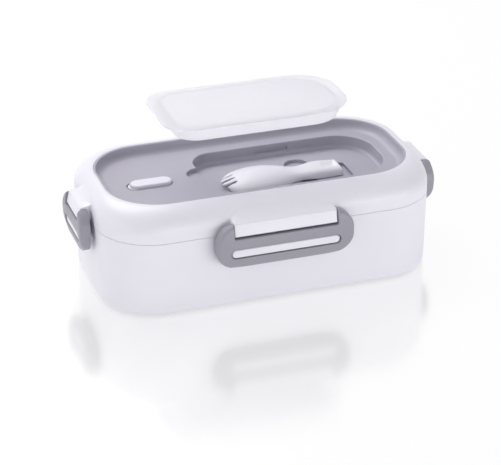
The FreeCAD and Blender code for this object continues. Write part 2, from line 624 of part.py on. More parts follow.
# Inner lid plate: plugs the mouth of the base, with a weld wall up to the shelf and a gasket groove
PLUG_OUTLINE = inside("wall + plug_gap")
GASKET = inside("pan_flange_inset + gasket_inset")
GASKET_INSIDE = grown(*GASKET, "-gasket_width")
GASKET_BOTTOM = f"{FLANGE_UNDERSIDE} + pan_sheet"
VENT_MIDDLE = f"(vent_end_inset - {RIM_OUTLINE[0]} / 2)"
VENT_X = f"{VENT_MIDDLE} + vent_length / 2 - vent_hole_inset"
plug = new_body("lid_inner")
slab(plug, PLUG_TOP, *PLUG_OUTLINE, "plug_thick", back=True)
ring(plug, PLUG_TOP, *COLLAR, *RIM_OUTLINE, f"{SHELF_BOTTOM} - {PLUG_TOP}")
groove = new_sketch(plug, "XY_Plane", f"{PLUG_TOP} - plug_thick")
rounded(groove, *GASKET)
rounded(groove, *GASKET_INSIDE)
pocket(plug, groove, f"{GASKET_BOTTOM} + gasket_height - {PLUG_TOP} + plug_thick", back=True)
vent_way = new_sketch(plug, "XY_Plane", PLUG_TOP, VENT_X, "vent_offset")
circle(vent_way, "vent_hole_radius")
pocket(plug, vent_way, "plug_thick")

gasket = new_body("lid_gasket")
ring(gasket, GASKET_BOTTOM, *GASKET, *GASKET_INSIDE, "gasket_height")

# Lid panel: a shallow tray with a coved wall, a deep cutlery recess, a finger notch and the vent seat
PANEL = grown(*RIM_OUTLINE, "-panel_fit")
RECESS_WIDTH = f"({RIM_OUTLINE[1]} - 2 * recess_margin)"
LEFT_CORNER_SHARE = 0.248
RIGHT_CORNER_SHARE = 0.394
RIGHT_CORNER = f"({RIGHT_CORNER_SHARE} * {RECESS_WIDTH})"
LEFT_CORNER = f"({LEFT_CORNER_SHARE} * {RECESS_WIDTH})"
RECESS = (f"({RIM_OUTLINE[0]} - recess_start - recess_end)", RECESS_WIDTH, LEFT_CORNER)
RECESS_X = "((recess_start - recess_end) / 2)"
RECESS_DEPTH = f"({PANEL_TOP} - {RECESS_FLOOR})"
RECESS_PLACE = {"across": RECESS_X, "up": "recess_offset"}
panel = new_body("lid_panel")
slab(panel, SHELF_TOP, *PANEL, f"{RIM} - panel_drop - {SHELF_TOP}")
hollow(panel, f"{RIM} - panel_drop", *grown(*PANEL, "-panel_lip"), "panel_sink - panel_drop",
       taper="-panel_draft")
fillet(panel, "panel_cove", lambda edge: flat_at(edge, PANEL_TOP))
slab(panel, f"{RECESS_FLOOR} - recess_wall", *grown(*RECESS, "recess_wall"),
     f"{RECESS_DEPTH} + recess_wall - panel_thick / 2", right=f"{RIGHT_CORNER} + recess_wall",
     **RECESS_PLACE)
NOTCH_X = f"{RECESS_X} - {RECESS[0]} / 2"
notch_cup = new_sketch(panel, "XY_Plane", f"{SHELF_TOP}", NOTCH_X, "notch_offset")
circle(notch_cup, "notch_radius + recess_wall")
pad(panel, notch_cup, "notch_depth", back=True)
SPORK_X = f"({RECESS_X} + spork_shift)"
PITS = (((f"{SPORK_X} + pit_shift", "spork_offset + pit_offset"), ("pit_length", "pit_width")),
        ((f"{SPORK_X} + spork_length / 2 + slit_length / 2", "spork_offset"), ("slit_length", "slit_width")))
for pit_place, pit_size in PITS:
    slab(panel, PLUG_TOP, *grown(*pit_size, f"{pit_size[0]} / 2 - clearance", "recess_wall"),
         "recess_rise - recess_wall / 2", across=pit_place[0], up=pit_place[1])
VENT_WELL_X = f"{VENT_MIDDLE} - vent_length / 2 - vent_heel + vent_well_length / 2"
slab(panel, f"{SHELF_TOP}", "vent_well_length + 2 * vent_skirt", "vent_width + 2 * vent_gap + 2 * vent_skirt",
     "vent_skirt", "vent_well", back=True, across=VENT_WELL_X, up="vent_offset")
tube = new_sketch(panel, "XY_Plane", PLUG_TOP, VENT_X, "vent_offset")
circle(tube, "vent_hole_radius + vent_tube_wall")
pad(panel, tube, f"{SHELF_TOP} - {PLUG_TOP} + panel_thick / 2")
hollow(panel, PANEL_TOP, *RECESS, RECESS_DEPTH, right=RIGHT_CORNER, **RECESS_PLACE)
fillet(panel, "recess_cove", lambda edge: flat_at(edge, RECESS_FLOOR))


def on_recess_lip(edge):
    """Whether an edge borders the mouth of the cutlery recess."""
    middle, box = edge.CenterOfMass, edge.BoundBox
    along = abs(middle.x - value(RECESS_X)) < value(f"{RECESS[0]} / 2") + SAME
    return flat_at(edge, PANEL_TOP) and along and box.YMax < value(f"{PANEL[1]} / 2 - panel_lip - panel_cove")


fillet(panel, "recess_lip", on_recess_lip)
for pit_place, pit_size in PITS:
    hollow(panel, RECESS_FLOOR, *pit_size, f"{pit_size[0]} / 2 - clearance", "pit_depth",
           across=pit_place[0], up=pit_place[1])
notch = new_sketch(panel, "XY_Plane", PANEL_TOP, NOTCH_X, "notch_offset")
circle(notch, "notch_radius")
pocket(panel, notch, "notch_depth")
snap = new_sketch(panel, "XZ_Plane", f"-recess_offset - {RECESS_WIDTH} / 2 - snap_depth",
                  f"{RECESS_X} + snap_shift", f"{PANEL_TOP} - snap_drop")
rounded(snap, "snap_length", "snap_height", "snap_depth")
pocket(panel, snap, "snap_depth + recess_wall", back=True)

# Vent seat in the panel: a shallow pocket, a deeper well at the hinge, the steam hole and the axle bore
SEAT_LENGTH = "vent_length + vent_heel + vent_gap"
seat = new_sketch(panel, "XY_Plane", PANEL_TOP, f"{VENT_MIDDLE} - (vent_heel - vent_gap) / 2", "vent_offset")
slot(seat, SEAT_LENGTH, "vent_width + 2 * vent_gap")
pocket(panel, seat, "vent_sink")
well = new_sketch(panel, "XY_Plane", PANEL_TOP, VENT_WELL_X, "vent_offset")
rounded(well, "vent_well_length", "vent_width + 2 * vent_gap", "vent_well_corner", "vent_gap")
pocket(panel, well, "vent_well")
steam = new_sketch(panel, "XY_Plane", PANEL_TOP, VENT_X, "vent_offset")
circle(steam, "vent_hole_radius")
pocket(panel, steam, f"{PANEL_TOP} - {PLUG_TOP}")
AXLE_X = f"{VENT_MIDDLE} - vent_length / 2 + vent_axle_inset"
AXLE_Z = f"{PANEL_TOP} - vent_axle_drop"
AXLE_LENGTH = "vent_width + 2 * vent_gap + 2 * clearance"
axle_bore = new_sketch(panel, "XZ_Plane", "-vent_offset", AXLE_X, AXLE_Z)
circle(axle_bore, "vent_axle_radius + running_gap")
pocket(panel, axle_bore, f"{AXLE_LENGTH} + running_gap", both=True)

axle = new_body("vent_pin")
rod = new_sketch(axle, "XZ_Plane", "-vent_offset", AXLE_X, AXLE_Z)
circle(rod, "vent_axle_radius")
pad(axle, rod, AXLE_LENGTH, both=True)

# Vent flap: a pill with a hinge lug, and its stopper
flap = new_body("vent_flap")
FLAP_BOTTOM = f"{PANEL_TOP} - vent_sink + clearance"
pill = new_sketch(flap, "XY_Plane", FLAP_BOTTOM, VENT_MIDDLE, "vent_offset")
slot(pill, "vent_length", "vent_width")
pad(flap, pill, "vent_rise + vent_sink - clearance")
fillet(flap, "vent_edge", lambda edge: flat_at(edge, f"{PANEL_TOP} + vent_rise"))
lug = new_sketch(flap, "XZ_Plane", "-vent_offset", AXLE_X, AXLE_Z)
circle(lug, "vent_lug_radius")
pad(flap, lug, "vent_lug_width", both=True)
lug_bore = new_sketch(flap, "XZ_Plane", "-vent_offset", AXLE_X, AXLE_Z)
circle(lug_bore, "vent_axle_radius + running_gap")
pocket(flap, lug_bore, "vent_width + overrun", both=True)

stopper = new_body("vent_stopper")
plug_round = new_sketch(stopper, "XY_Plane", FLAP_BOTTOM, VENT_X, "vent_offset")
circle(plug_round, "vent_hole_radius - clearance")
pad(stopper, plug_round, "stopper_drop", back=True)


def latch(label, turn, span, width, slot_length, knuckle_width):
    """A snap latch in front of a wall that lies across -Y, then turned to its own side."""
    body = new_body(label)
    wall_face = f"-{span} / 2"
    toe = f"{LATCH_BOTTOM} + latch_toe"
    front = f"{wall_face} - pivot_offset - latch_round"
    blank = new_sketch(body, "YZ_Plane")
    profile(blank, [
        (f"{wall_face} - pivot_offset + latch_round", PIVOT),
        (f"{wall_face} - pivot_offset", f"{PIVOT} + latch_round", "latch_round"),
        (front, PIVOT, "latch_round"),
        (f"{front} + toe_inset", toe, "latch_bulge"),
        (f"{front} + latch_toe", LATCH_BOTTOM, "latch_toe"),
        (f"{wall_face} - cheek_offset", LATCH_BOTTOM),
        (f"{wall_face} - cheek_offset", f"{PIVOT} - latch_round"),
    ])
    pad(body, blank, width, both=True)
    height = "latch_drop + latch_round"
    ends = new_sketch(body, "XZ_Plane", f"{span} / 2", up=f"{LATCH_BOTTOM} + ({height}) / 2")
    rounded(ends, f"{width} + 2 * overrun", f"{height} + 2 * overrun", "overrun")
    rounded(ends, width, height, "latch_corner")
    depth = "pivot_offset + 2 * latch_round"
    pocket(body, ends, depth, back=True)
    room = "latch_drop - crossbar_drop"
    back_room = new_sketch(body, "XZ_Plane", f"{span} / 2", up=f"{LATCH_BOTTOM} + ({room}) / 2 - overrun")
    rounded(back_room, f"{slot_length} + 2 * slot_side", f"{room} + 2 * overrun", "slot_side")
    pocket(body, back_room, "pivot_offset + latch_round - latch_plate", back=True)
    head_room = new_sketch(body, "XZ_Plane", f"{span} / 2", up=f"{PIVOT} - crossbar_drop + latch_drop / 2")
    rounded(head_room, f"{knuckle_width} + 2 * knuckle_gap", "latch_drop", "knuckle_gap")
    pocket(body, head_room, depth, back=True)
    window = new_sketch(body, "XZ_Plane", f"{span} / 2", up=f"{PIVOT} - slot_drop")
    slot(window, slot_length, "slot_width")
    pocket(body, window, depth, back=True)
    bore = new_sketch(body, "YZ_Plane")
    circle(bore, PIN_BORE, f"{wall_face} - pivot_offset", PIVOT)
    pocket(body, bore, f"{knuckle_width} + 2 * latch_pin_grip + running_gap", both=True)
    body.Placement = FreeCAD.Placement(FreeCAD.Vector(), FreeCAD.Rotation(FreeCAD.Vector(0, 0, 1), turn))


LONG_LATCH = ("box_width", "front_latch_width", "front_slot_length", "front_knuckle_width")
SHORT_LATCH = ("box_length", "side_latch_width", "side_slot_length", "side_knuckle_width")
latch("latch_front", 0, *LONG_LATCH)
latch("latch_back", 180, *LONG_LATCH)
latch("latch_left", -90, *SHORT_LATCH)
latch("latch_right", 90, *SHORT_LATCH)

# Spork: domed sections from the tips to the handle, hollow underneath, with tines and a thumb dimple
SPORK_STATION_SHARES = (0, 0.08, 0.2, 0.34, 0.5, 0.63, 0.76, 0.88, 1)
SPORK_WIDTH_SHARES = (0.52, 0.78, 0.96, 1, 0.77, 0.46, 0.53, 0.61, 0.62)
SPORK_RISE_SHARES = (0.32, 0.56, 0.85, 1, 0.9, 0.68, 0.68, 0.71, 0.7)


def domes(body, skin):
    sections = []
    for share, width, rise in zip(SPORK_STATION_SHARES, SPORK_WIDTH_SHARES, SPORK_RISE_SHARES):
        half = f"({width} * bowl_width / 2 - ({skin}))"
        high = f"({rise} * bowl_rise - ({skin}))"
        sketch = new_sketch(body, "YZ_Plane", f"{SPORK_X} + {share} * spork_length - spork_length / 2",
                            "spork_offset", RECESS_FLOOR)
        radius = f"({half} ^ 2 + {high} ^ 2) / (2 * {high})"
        profile(sketch, [(f"-{half}", "0", radius), (half, "0"), ("0", high, radius)])
        sections.append(sketch)
    return sections


spork = new_body("spork")
loft(spork, domes(spork, "0"))
loft(spork, domes(spork, "spork_skin"), cut=True)
for way in ("-", "0 *", ""):
    split = new_sketch(spork, "XY_Plane", RECESS_FLOOR, f"{SPORK_X} - spork_length / 2",
                       f"spork_offset + {way} tine_pitch")
    slot(split, "2 * tine_length", "tine_gap")
    pocket(spork, split, "bowl_rise + overrun", back=True)
hollow(spork, f"{RECESS_FLOOR} + bowl_rise", "dimple_length", "dimple_width", "dimple_corner",
       f"bowl_rise - {SPORK_RISE_SHARES[-1]} * bowl_rise + dimple_depth",
       across=f"{SPORK_X} + spork_length / 2 - dimple_inset", up="spork_offset")

# Cutlery cover: a thin cap with a skirt, drawn where it floats after being lifted off
cap = new_body("cutlery_cover")
CAP = grown(*RECESS, "lid_lap")
CAP_HEIGHT = f"{PANEL_TOP} + lift_up"
CAP_PLACE = {"across": f"{RECESS_X} + lift_along", "up": "recess_offset"}
slab(cap, CAP_HEIGHT, *CAP, "lid_skin", right=f"{RIGHT_CORNER} + lid_lap", **CAP_PLACE)
SKIRT_PLACE = {"across": f"{RECESS_X} + lift_along + (skirt_left - skirt_right) / 2", "up": "recess_offset"}
SKIRT = (f"{RECESS[0]} - skirt_left - skirt_right", f"{RECESS_WIDTH} - 2 * skirt_side",
         f"{LEFT_CORNER} - skirt_side")
slab(cap, CAP_HEIGHT, *SKIRT, "skirt_depth", back=True, right=f"{RIGHT_CORNER} - skirt_side", **SKIRT_PLACE)
hollow(cap, f"{CAP_HEIGHT} - skirt_depth", *grown(*SKIRT, "-lid_skin"), "skirt_depth", back=True,
       right=f"{RIGHT_CORNER} - skirt_side - lid_skin", **SKIRT_PLACE)

doc.recompute()
for item in doc.Objects:
    if {"Invalid", "Error"} & set(item.State):
        raise RuntimeError(f"{item.Label} did not build: {item.State}")
for part in parts:
    if part.Shape.isNull() or not part.Shape.isValid():
        raise RuntimeError(f"{part.Label} has no valid shape")
os.makedirs("parts", exist_ok=True)
for part in parts:
    part.Shape.exportStep(f"parts/{part.Label}.step")
    print(part.Label, len(part.Shape.Solids), round(part.Shape.Volume))
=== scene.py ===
import bmesh
import bpy
import math
from mathutils import Matrix, Vector
from mathutils.geometry import delaunay_2d_cdt


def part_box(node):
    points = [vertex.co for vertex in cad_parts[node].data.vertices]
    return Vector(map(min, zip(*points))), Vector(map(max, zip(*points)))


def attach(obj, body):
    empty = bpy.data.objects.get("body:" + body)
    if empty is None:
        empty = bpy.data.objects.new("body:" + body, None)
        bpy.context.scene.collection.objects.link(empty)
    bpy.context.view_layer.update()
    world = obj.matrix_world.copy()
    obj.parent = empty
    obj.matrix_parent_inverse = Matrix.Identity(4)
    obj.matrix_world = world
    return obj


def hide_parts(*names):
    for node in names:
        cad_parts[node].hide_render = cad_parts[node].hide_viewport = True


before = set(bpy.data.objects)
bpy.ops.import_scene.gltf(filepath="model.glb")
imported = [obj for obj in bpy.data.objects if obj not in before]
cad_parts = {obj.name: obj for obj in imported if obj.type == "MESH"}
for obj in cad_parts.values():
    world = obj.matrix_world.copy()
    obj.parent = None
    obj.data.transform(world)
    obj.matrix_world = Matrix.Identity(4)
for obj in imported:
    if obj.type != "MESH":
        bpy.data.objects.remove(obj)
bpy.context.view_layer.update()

# The base shell is the white lower body of the box: one injection moulding in satin polypropylene,
# with a rounded foot edge and four catch ribs that the latches snap over.
# Its skin carries a fine spark-eroded grain and very slight shade differences from the melt flow.


def group_of(name, inputs, outputs):
    tree = bpy.data.node_groups.new(name, "ShaderNodeTree")
    for label, kind, start in inputs:
        socket = tree.interface.new_socket(name=label, in_out="INPUT", socket_type=kind)
        socket.default_value = start
    for label, kind in outputs:
        tree.interface.new_socket(name=label, in_out="OUTPUT", socket_type=kind)
    return tree, tree.nodes.new("NodeGroupInput"), tree.nodes.new("NodeGroupOutput")


def node_in(tree, kind, links=(), **settings):
    made = tree.nodes.new(kind)
    for name, setting in settings.items():
        setattr(made, name, setting)
    for source, target in links:
        tree.links.new(source, made.inputs[target])
    return made


def noise_in(tree, scale, detail, stretch=(1, 1, 1)):
    place = node_in(tree, "ShaderNodeTexCoord")
    turn = node_in(tree, "ShaderNodeMapping", [(place.outputs["Object"], "Vector")])
    turn.inputs["Scale"].default_value = stretch
    made = node_in(tree, "ShaderNodeTexNoise", [(turn.outputs["Vector"], "Vector")])
    made.inputs["Scale"].default_value = scale
    made.inputs["Detail"].default_value = detail
    return made.outputs["Fac"]


def feed(tree, node, ends):
    for socket, end in ends:
        if isinstance(end, float):
            node.inputs[socket].default_value = end
        else:
            tree.links.new(end, node.inputs[socket])


noise_low, noise_high = 0.25, 0.75


def spread_in(tree, source, low, high):
    made = node_in(tree, "ShaderNodeMapRange", [(source, "Value")])
    feed(tree, made, (("From Min", noise_low), ("From Max", noise_high), ("To Min", low), ("To Max", high)))
    return made.outputs["Result"]


def math_in(tree, operation, first, second):
    made = node_in(tree, "ShaderNodeMath", operation=operation)
    feed(tree, made, ((0, first), (1, second)))
    return made.outputs["Value"]


def shaded(tree, colour, shade):
    made = node_in(tree, "ShaderNodeVectorMath", [(colour, 0), (shade, "Scale")], operation="SCALE")
    return made.outputs["Vector"]


# Each noise has a scale and a detail, and the one of the melt flow also a stretch.
flow_noise = (16, 3, (1, 1, 2.2))
smear_noise = (48, 4)
fine_grain, coarse_grain = (2400, 2), (900, 1)


def moulded_skin_group():
    tree, into, out = group_of(
        "moulded skin",
        [("Colour", "NodeSocketColor", (0.8, 0.8, 0.8, 1)), ("Shade", "NodeSocketFloat", 0.03),
         ("Roughness", "NodeSocketFloat", 0.4), ("Smear", "NodeSocketFloat", 0.08)],
        [("Colour", "NodeSocketColor"), ("Roughness", "NodeSocketFloat"), ("Height", "NodeSocketFloat")])
    dark = math_in(tree, "SUBTRACT", 1.0, into.outputs["Shade"])
    colour = shaded(tree, into.outputs["Colour"], spread_in(tree, noise_in(tree, *flow_noise), dark, 1.0))
    smear = spread_in(tree, noise_in(tree, *smear_noise), 0.0, into.outputs["Smear"])
    rough = math_in(tree, "ADD", into.outputs["Roughness"], smear)
    grain = math_in(tree, "ADD", noise_in(tree, *fine_grain), noise_in(tree, *coarse_grain))
    feed(tree, out, (("Colour", colour), ("Roughness", rough), ("Height", grain)))
    return tree


moulded_skin = moulded_skin_group()


def skinned(name, skin_tree, settings, bump_strength, bump_depth):
    made = bpy.data.materials.new(name)
    made.use_nodes = True
    tree = made.node_tree
    shader = tree.nodes["Principled BSDF"]
    skin = node_in(tree, "ShaderNodeGroup", node_tree=skin_tree)
    for label, setting in settings.items():
        skin.inputs[label].default_value = setting
    bump = node_in(tree, "ShaderNodeBump", [(skin.outputs["Height"], "Height")])
    feed(tree, bump, (("Strength", bump_strength), ("Distance", bump_depth)))
    feed(tree, shader, (("Base Color", skin.outputs["Colour"]), ("Roughness", skin.outputs["Roughness"]),
                        ("Normal", bump.outputs["Normal"])))
    return made, shader


grain_strength = 0.25
subsurface_radius = (0.004, 0.004, 0.004)


def plastic(name, colour, roughness, shade=0.03, smear=0.08, grain_depth=0.00002, subsurface=0.0):
    settings = {"Colour": (*colour, 1), "Shade": shade, "Roughness": roughness, "Smear": smear}
    made, shader = skinned(name, moulded_skin, settings, grain_strength, grain_depth)
    shader.inputs["Subsurface Weight"].default_value = subsurface
    shader.inputs["Subsurface Radius"].default_value = subsurface_radius
    shader.inputs["Subsurface Scale"].default_value = 1.0
    return made


def finish_node(node, material):
    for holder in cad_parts[node].material_slots:
        holder.material = material


def new_piece(name, mesh, material, body, slot, *nodes):
    piece = bpy.data.objects.new(name, mesh)
    bpy.context.scene.collection.objects.link(piece)
    mesh.materials.clear()
    mesh.materials.append(material)
    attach(piece, body)
    if nodes:
        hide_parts(*nodes)


def plain_mesh(piece):
    graph = bpy.context.evaluated_depsgraph_get()
    made = bpy.data.meshes.new_from_object(piece.evaluated_get(graph))
    piece.modifiers.clear()
    return made


def smooth(mesh, angle=40):
    for face in mesh.polygons:
        face.use_smooth = True
    mesh.set_sharp_from_angle(angle=math.radians(angle))


weld_distance = 0.000002
flat_angle = math.radians(0.3)


# A copy of a CAD mesh whose sharp edges are rounded off a little.
def broken_edges(node, width, steps=3, angle=32):
    shape = bmesh.new()
    shape.from_mesh(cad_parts[node].data)
    bmesh.ops.remove_doubles(shape, verts=shape.verts, dist=weld_distance)
    bmesh.ops.dissolve_limit(shape, angle_limit=flat_angle, verts=shape.verts, edges=shape.edges)
    mesh = bpy.data.meshes.new(node + "_moulded")
    shape.to_mesh(mesh)
    shape.free()
    holder = bpy.data.objects.new(node + "_blank", mesh)
    bpy.context.scene.collection.objects.link(holder)
    bevel = holder.modifiers.new("broken edges", "BEVEL")
    bevel.width = width
    bevel.segments = steps
    bevel.limit_method = "ANGLE"
    bevel.angle_limit = math.radians(angle)
    bevel.use_clamp_overlap = False
    evened = holder.modifiers.new("even shading", "WEIGHTED_NORMAL")
    evened.keep_sharp = True
    smooth(mesh, angle=180)
    made = plain_mesh(holder)
    bpy.data.objects.remove(holder)
    return made


white_plastic = plastic("satin white polypropylene", (0.80, 0.79, 0.865), roughness=0.36)
base_edge, shell_angle = 0.0002, 55
base_mesh = broken_edges("base_shell", base_edge, angle=shell_angle)
rim_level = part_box("base_shell")[1].z
rim_band, rim_lift = 0.0003, 0.0002
for vert in base_mesh.vertices:
    if vert.co.z > rim_level - rim_band:
        vert.co.z += rim_lift
new_piece("base_body", base_mesh, white_plastic, "base", "white_plastic", "base_shell")

# The bottom cover closes the base from below. It is moulded in the same white plastic and held by
# four zinc plated pan head screws with a cross recess; four grey rubber feet are glued in seats beside it.
finish_node("bottom_cover", white_plastic)
streak_noise = (30, 4, (1, 1, 40))
cloud_noise, cloud_depth = (35, 3), 0.1


def brushed_group():
    tree, into, out = group_of(
        "brushed metal",
        [("Colour", "NodeSocketColor", (0.6, 0.6, 0.6, 1)), ("Roughness", "NodeSocketFloat", 0.3),
         ("Streak", "NodeSocketFloat", 0.15)],
        [("Colour", "NodeSocketColor"), ("Roughness", "NodeSocketFloat"), ("Height", "NodeSocketFloat")])
    lines = noise_in(tree, *streak_noise)
    dark = math_in(tree, "SUBTRACT", 1.0, into.outputs["Streak"])
    colour = shaded(tree, into.outputs["Colour"], spread_in(tree, lines, dark, 1.0))
    cloud = spread_in(tree, noise_in(tree, *cloud_noise), 0.0, cloud_depth)
    rough = math_in(tree, "ADD", into.outputs["Roughness"], cloud)
    feed(tree, out, (("Colour", colour), ("Roughness", rough), ("Height", lines)))
    return tree


brushed_metal = brushed_group()
streak_strength = 0.2


def metal(name, colour, roughness, streak=0.12, streak_depth=0.00001):
    settings = {"Colour": (*colour, 1), "Roughness": roughness, "Streak": streak}
    made, shader = skinned(name, brushed_metal, settings, streak_strength, streak_depth)
    shader.inputs["Metallic"].default_value = 1.0
    return made


screw_steel = metal("zinc plated steel", (0.55, 0.55, 0.57), roughness=0.3)
rod_sides, screw_columns = 32, 2
recess_length, recess_width = 1.15, 0.26
neck_share = 0.7
screw_numbers = ("Spread X", "Spread Y", "Middle X", "Level", "Head Radius", "Head Depth", "Shank Radius",
                 "Shank Length")


def screw_tree():
    tree = bpy.data.node_groups.new("cross recess screws", "GeometryNodeTree")
    tree.interface.new_socket(name="Geometry", in_out="OUTPUT", socket_type="NodeSocketGeometry")
    inputs = [(label, "NodeSocketFloat") for label in screw_numbers]
    inputs += [("Rows", "NodeSocketInt"), ("Finish", "NodeSocketMaterial")]
    for label, kind in inputs:
        tree.interface.new_socket(name=label, in_out="INPUT", socket_type=kind)
    into = tree.nodes.new("NodeGroupInput")
    out = tree.nodes.new("NodeGroupOutput")
    sites = node_in(tree, "GeometryNodeMeshGrid", [
        (into.outputs["Spread X"], "Size X"), (into.outputs["Spread Y"], "Size Y"),
        (into.outputs["Rows"], "Vertices Y")])
    sites.inputs["Vertices X"].default_value = screw_columns

    def upright_rod(radius, start, end):
        length = math_in(tree, "SUBTRACT", end, start)
        rod = node_in(tree, "GeometryNodeMeshCylinder", [(radius, "Radius"), (length, "Depth")])
        rod.inputs["Vertices"].default_value = rod_sides
        middle = math_in(tree, "MULTIPLY", math_in(tree, "ADD", start, end), 0.5)
        lift = node_in(tree, "ShaderNodeCombineXYZ", [(middle, "Z")])
        move = node_in(tree, "GeometryNodeTransform", [(rod.outputs["Mesh"], "Geometry"),
                                                      (lift.outputs["Vector"], "Translation")])
        return move.outputs["Geometry"]

    head = upright_rod(into.outputs["Head Radius"], 0.0, into.outputs["Head Depth"])
    neck = math_in(tree, "MULTIPLY", into.outputs["Head Depth"], neck_share)
    shank = upright_rod(into.outputs["Shank Radius"], neck, into.outputs["Shank Length"])
    long_side = math_in(tree, "MULTIPLY", into.outputs["Head Radius"], recess_length)
    short_side = math_in(tree, "MULTIPLY", into.outputs["Head Radius"], recess_width)
    blades = node_in(tree, "GeometryNodeMeshBoolean", operation="UNION", solver="EXACT")
    for sides in ((long_side, short_side), (short_side, long_side)):
        size = node_in(tree, "ShaderNodeCombineXYZ", [(sides[0], "X"), (sides[1], "Y"),
                                                      (into.outputs["Head Depth"], "Z")])
        blade = node_in(tree, "GeometryNodeMeshCube", [(size.outputs["Vector"], "Size")])
        tree.links.new(blade.outputs["Mesh"], blades.inputs["Mesh 2"])
    cut = node_in(tree, "GeometryNodeMeshBoolean", [(head, "Mesh 1"), (blades.outputs["Mesh"], "Mesh 2")],
                  operation="DIFFERENCE", solver="EXACT")
    screw = node_in(tree, "GeometryNodeMeshBoolean", [(cut.outputs["Mesh"], "Mesh 2"), (shank, "Mesh 2")],
                    operation="UNION", solver="EXACT")
    copies = node_in(tree, "GeometryNodeInstanceOnPoints", [(sites.outputs["Mesh"], "Points"),
                                                           (screw.outputs["Mesh"], "Instance")])
    place = node_in(tree, "ShaderNodeCombineXYZ", [(into.outputs["Middle X"], "X"),
                                                   (into.outputs["Level"], "Z")])
    moved = node_in(tree, "GeometryNodeTransform", [(copies.outputs["Instances"], "Geometry"),
                                                   (place.outputs["Vector"], "Translation")])
    real = node_in(tree, "GeometryNodeRealizeInstances", [(moved.outputs["Geometry"], "Geometry")])
    dressed = node_in(tree, "GeometryNodeSetMaterial", [(real.outputs["Geometry"], "Geometry"),
                                                       (into.outputs["Finish"], "Material")])
    tree.links.new(dressed.outputs["Geometry"], out.inputs["Geometry"])
    return tree


screws_rule = screw_tree()


def screws(name, node, rows, head_radius, head_depth, shank_radius):
    low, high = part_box(node)
    seed = bpy.data.objects.new(name + "_seed", bpy.data.meshes.new(name + "_seed"))
    bpy.context.scene.collection.objects.link(seed)
    nodes = seed.modifiers.new("screws", "NODES")
    nodes.node_group = screws_rule
    sizes = {"Spread X": high.x - low.x - 2 * head_radius, "Spread Y": high.y - low.y - 2 * head_radius,
             "Middle X": (low.x + high.x) / 2, "Level": low.z, "Rows": rows,
             "Head Radius": head_radius, "Head Depth": head_depth,
             "Shank Radius": shank_radius, "Shank Length": high.z - low.z, "Finish": screw_steel}
    for item in screws_rule.interface.items_tree:
        if item.in_out == "INPUT":
            nodes[item.identifier] = sizes[item.name]
    mesh = plain_mesh(seed)
    bpy.data.objects.remove(seed)
    smooth(mesh)
    new_piece(name, mesh, screw_steel, "base", "screw_steel", node)


screws("cover_screws", "bottom_screws", rows=2, head_radius=0.0028, head_depth=0.0011, shank_radius=0.0015)
foot_rubber = plastic("grey rubber", (0.13, 0.13, 0.14), roughness=0.75, shade=0.15, smear=0.1,
                      grain_depth=0.00006)
finish_node("rubber_feet", foot_rubber)

# The liner is the pan inside the base that takes the food container. It is moulded in pale heat-proof
# plastic and hangs by its flange on the ledge of the base shell.
liner_plastic = plastic("pale liner plastic", (0.72, 0.72, 0.74), roughness=0.42)
finish_node("base_liner", liner_plastic)

# The heater lies in the floor of the liner: an aluminium plate on a silicone seal, two ceramic heating
# bars in aluminium cases, pressed on by a spring steel clamp with two screws, a thermostat and a fuse.
finish_node("heater_plate", metal("satin aluminium", (0.72, 0.72, 0.74), roughness=0.36))
silicone = plastic("milky silicone", (0.78, 0.78, 0.79), roughness=0.5, shade=0.04, smear=0.1, subsurface=0.2)
finish_node("heater_seal", silicone)
finish_node("ptc_elements", metal("extruded aluminium", (0.62, 0.62, 0.64), roughness=0.45, streak=0.2))
finish_node("element_clamp", metal("spring steel", (0.5, 0.5, 0.52), roughness=0.32))
screws("clamp_screw_pair", "clamp_screws", rows=1, head_radius=0.0028, head_depth=0.0016, shank_radius=0.0015)
finish_node("thermostat", plastic("brown phenolic", (0.09, 0.05, 0.03), roughness=0.45, shade=0.2))
finish_node("thermal_fuse", plastic("fuse ceramic", (0.70, 0.66, 0.54), roughness=0.6, shade=0.1))
felt = plastic("insulation felt", (0.74, 0.71, 0.64), roughness=0.95, shade=0.3, smear=0.0,
               grain_depth=0.0004)
finish_node("insulation_pad", felt)
finish_node("lead_wires", plastic("wire jacket", (0.62, 0.60, 0.55), roughness=0.5, shade=0.1))

# The power inlet is a black moulded cup pushed into the rear wall from inside, with two nickel plated
# brass pins for the plug of the supply lead.
finish_node("power_inlet", plastic("black inlet plastic", (0.02, 0.02, 0.022), roughness=0.4, shade=0.2))
finish_node("inlet_pins", metal("nickel plated brass", (0.72, 0.64, 0.46), roughness=0.24))

# The food container is deep drawn from stainless steel sheet, brushed inside and out, with a flat
# flange that rests on the liner. It lifts out to be washed.
pan_edge = 0.0003
pan_mesh = broken_edges("food_container", pan_edge, steps=2)
pan_steel = metal("brushed stainless steel", (0.64, 0.64, 0.65), roughness=0.26, streak=0.18,
                  streak_depth=0.00002)
new_piece("steel_pan", pan_mesh, pan_steel, "container", "container_steel", "food_container")

# The lid shell is moulded in the same white plastic as the base, with a rounded shoulder, a flat rim band
# round the panel, and a knuckle on each side that a steel pin joins to its latch.
lid_edge = 0.0002
lid_mesh = broken_edges("lid_shell", lid_edge, angle=shell_angle)
new_piece("lid_body", lid_mesh, white_plastic, "lid", "white_plastic", "lid_shell")
finish_node("latch_pins_long", screw_steel)
short_pin_half, short_pin_radius = 0.0182, 0.00125


def mesh_of(shape, name, angle=40):
    bmesh.ops.recalc_face_normals(shape, faces=shape.faces)
    mesh = bpy.data.meshes.new(name)
    shape.to_mesh(mesh)
    shape.free()
    smooth(mesh, angle)
    return mesh


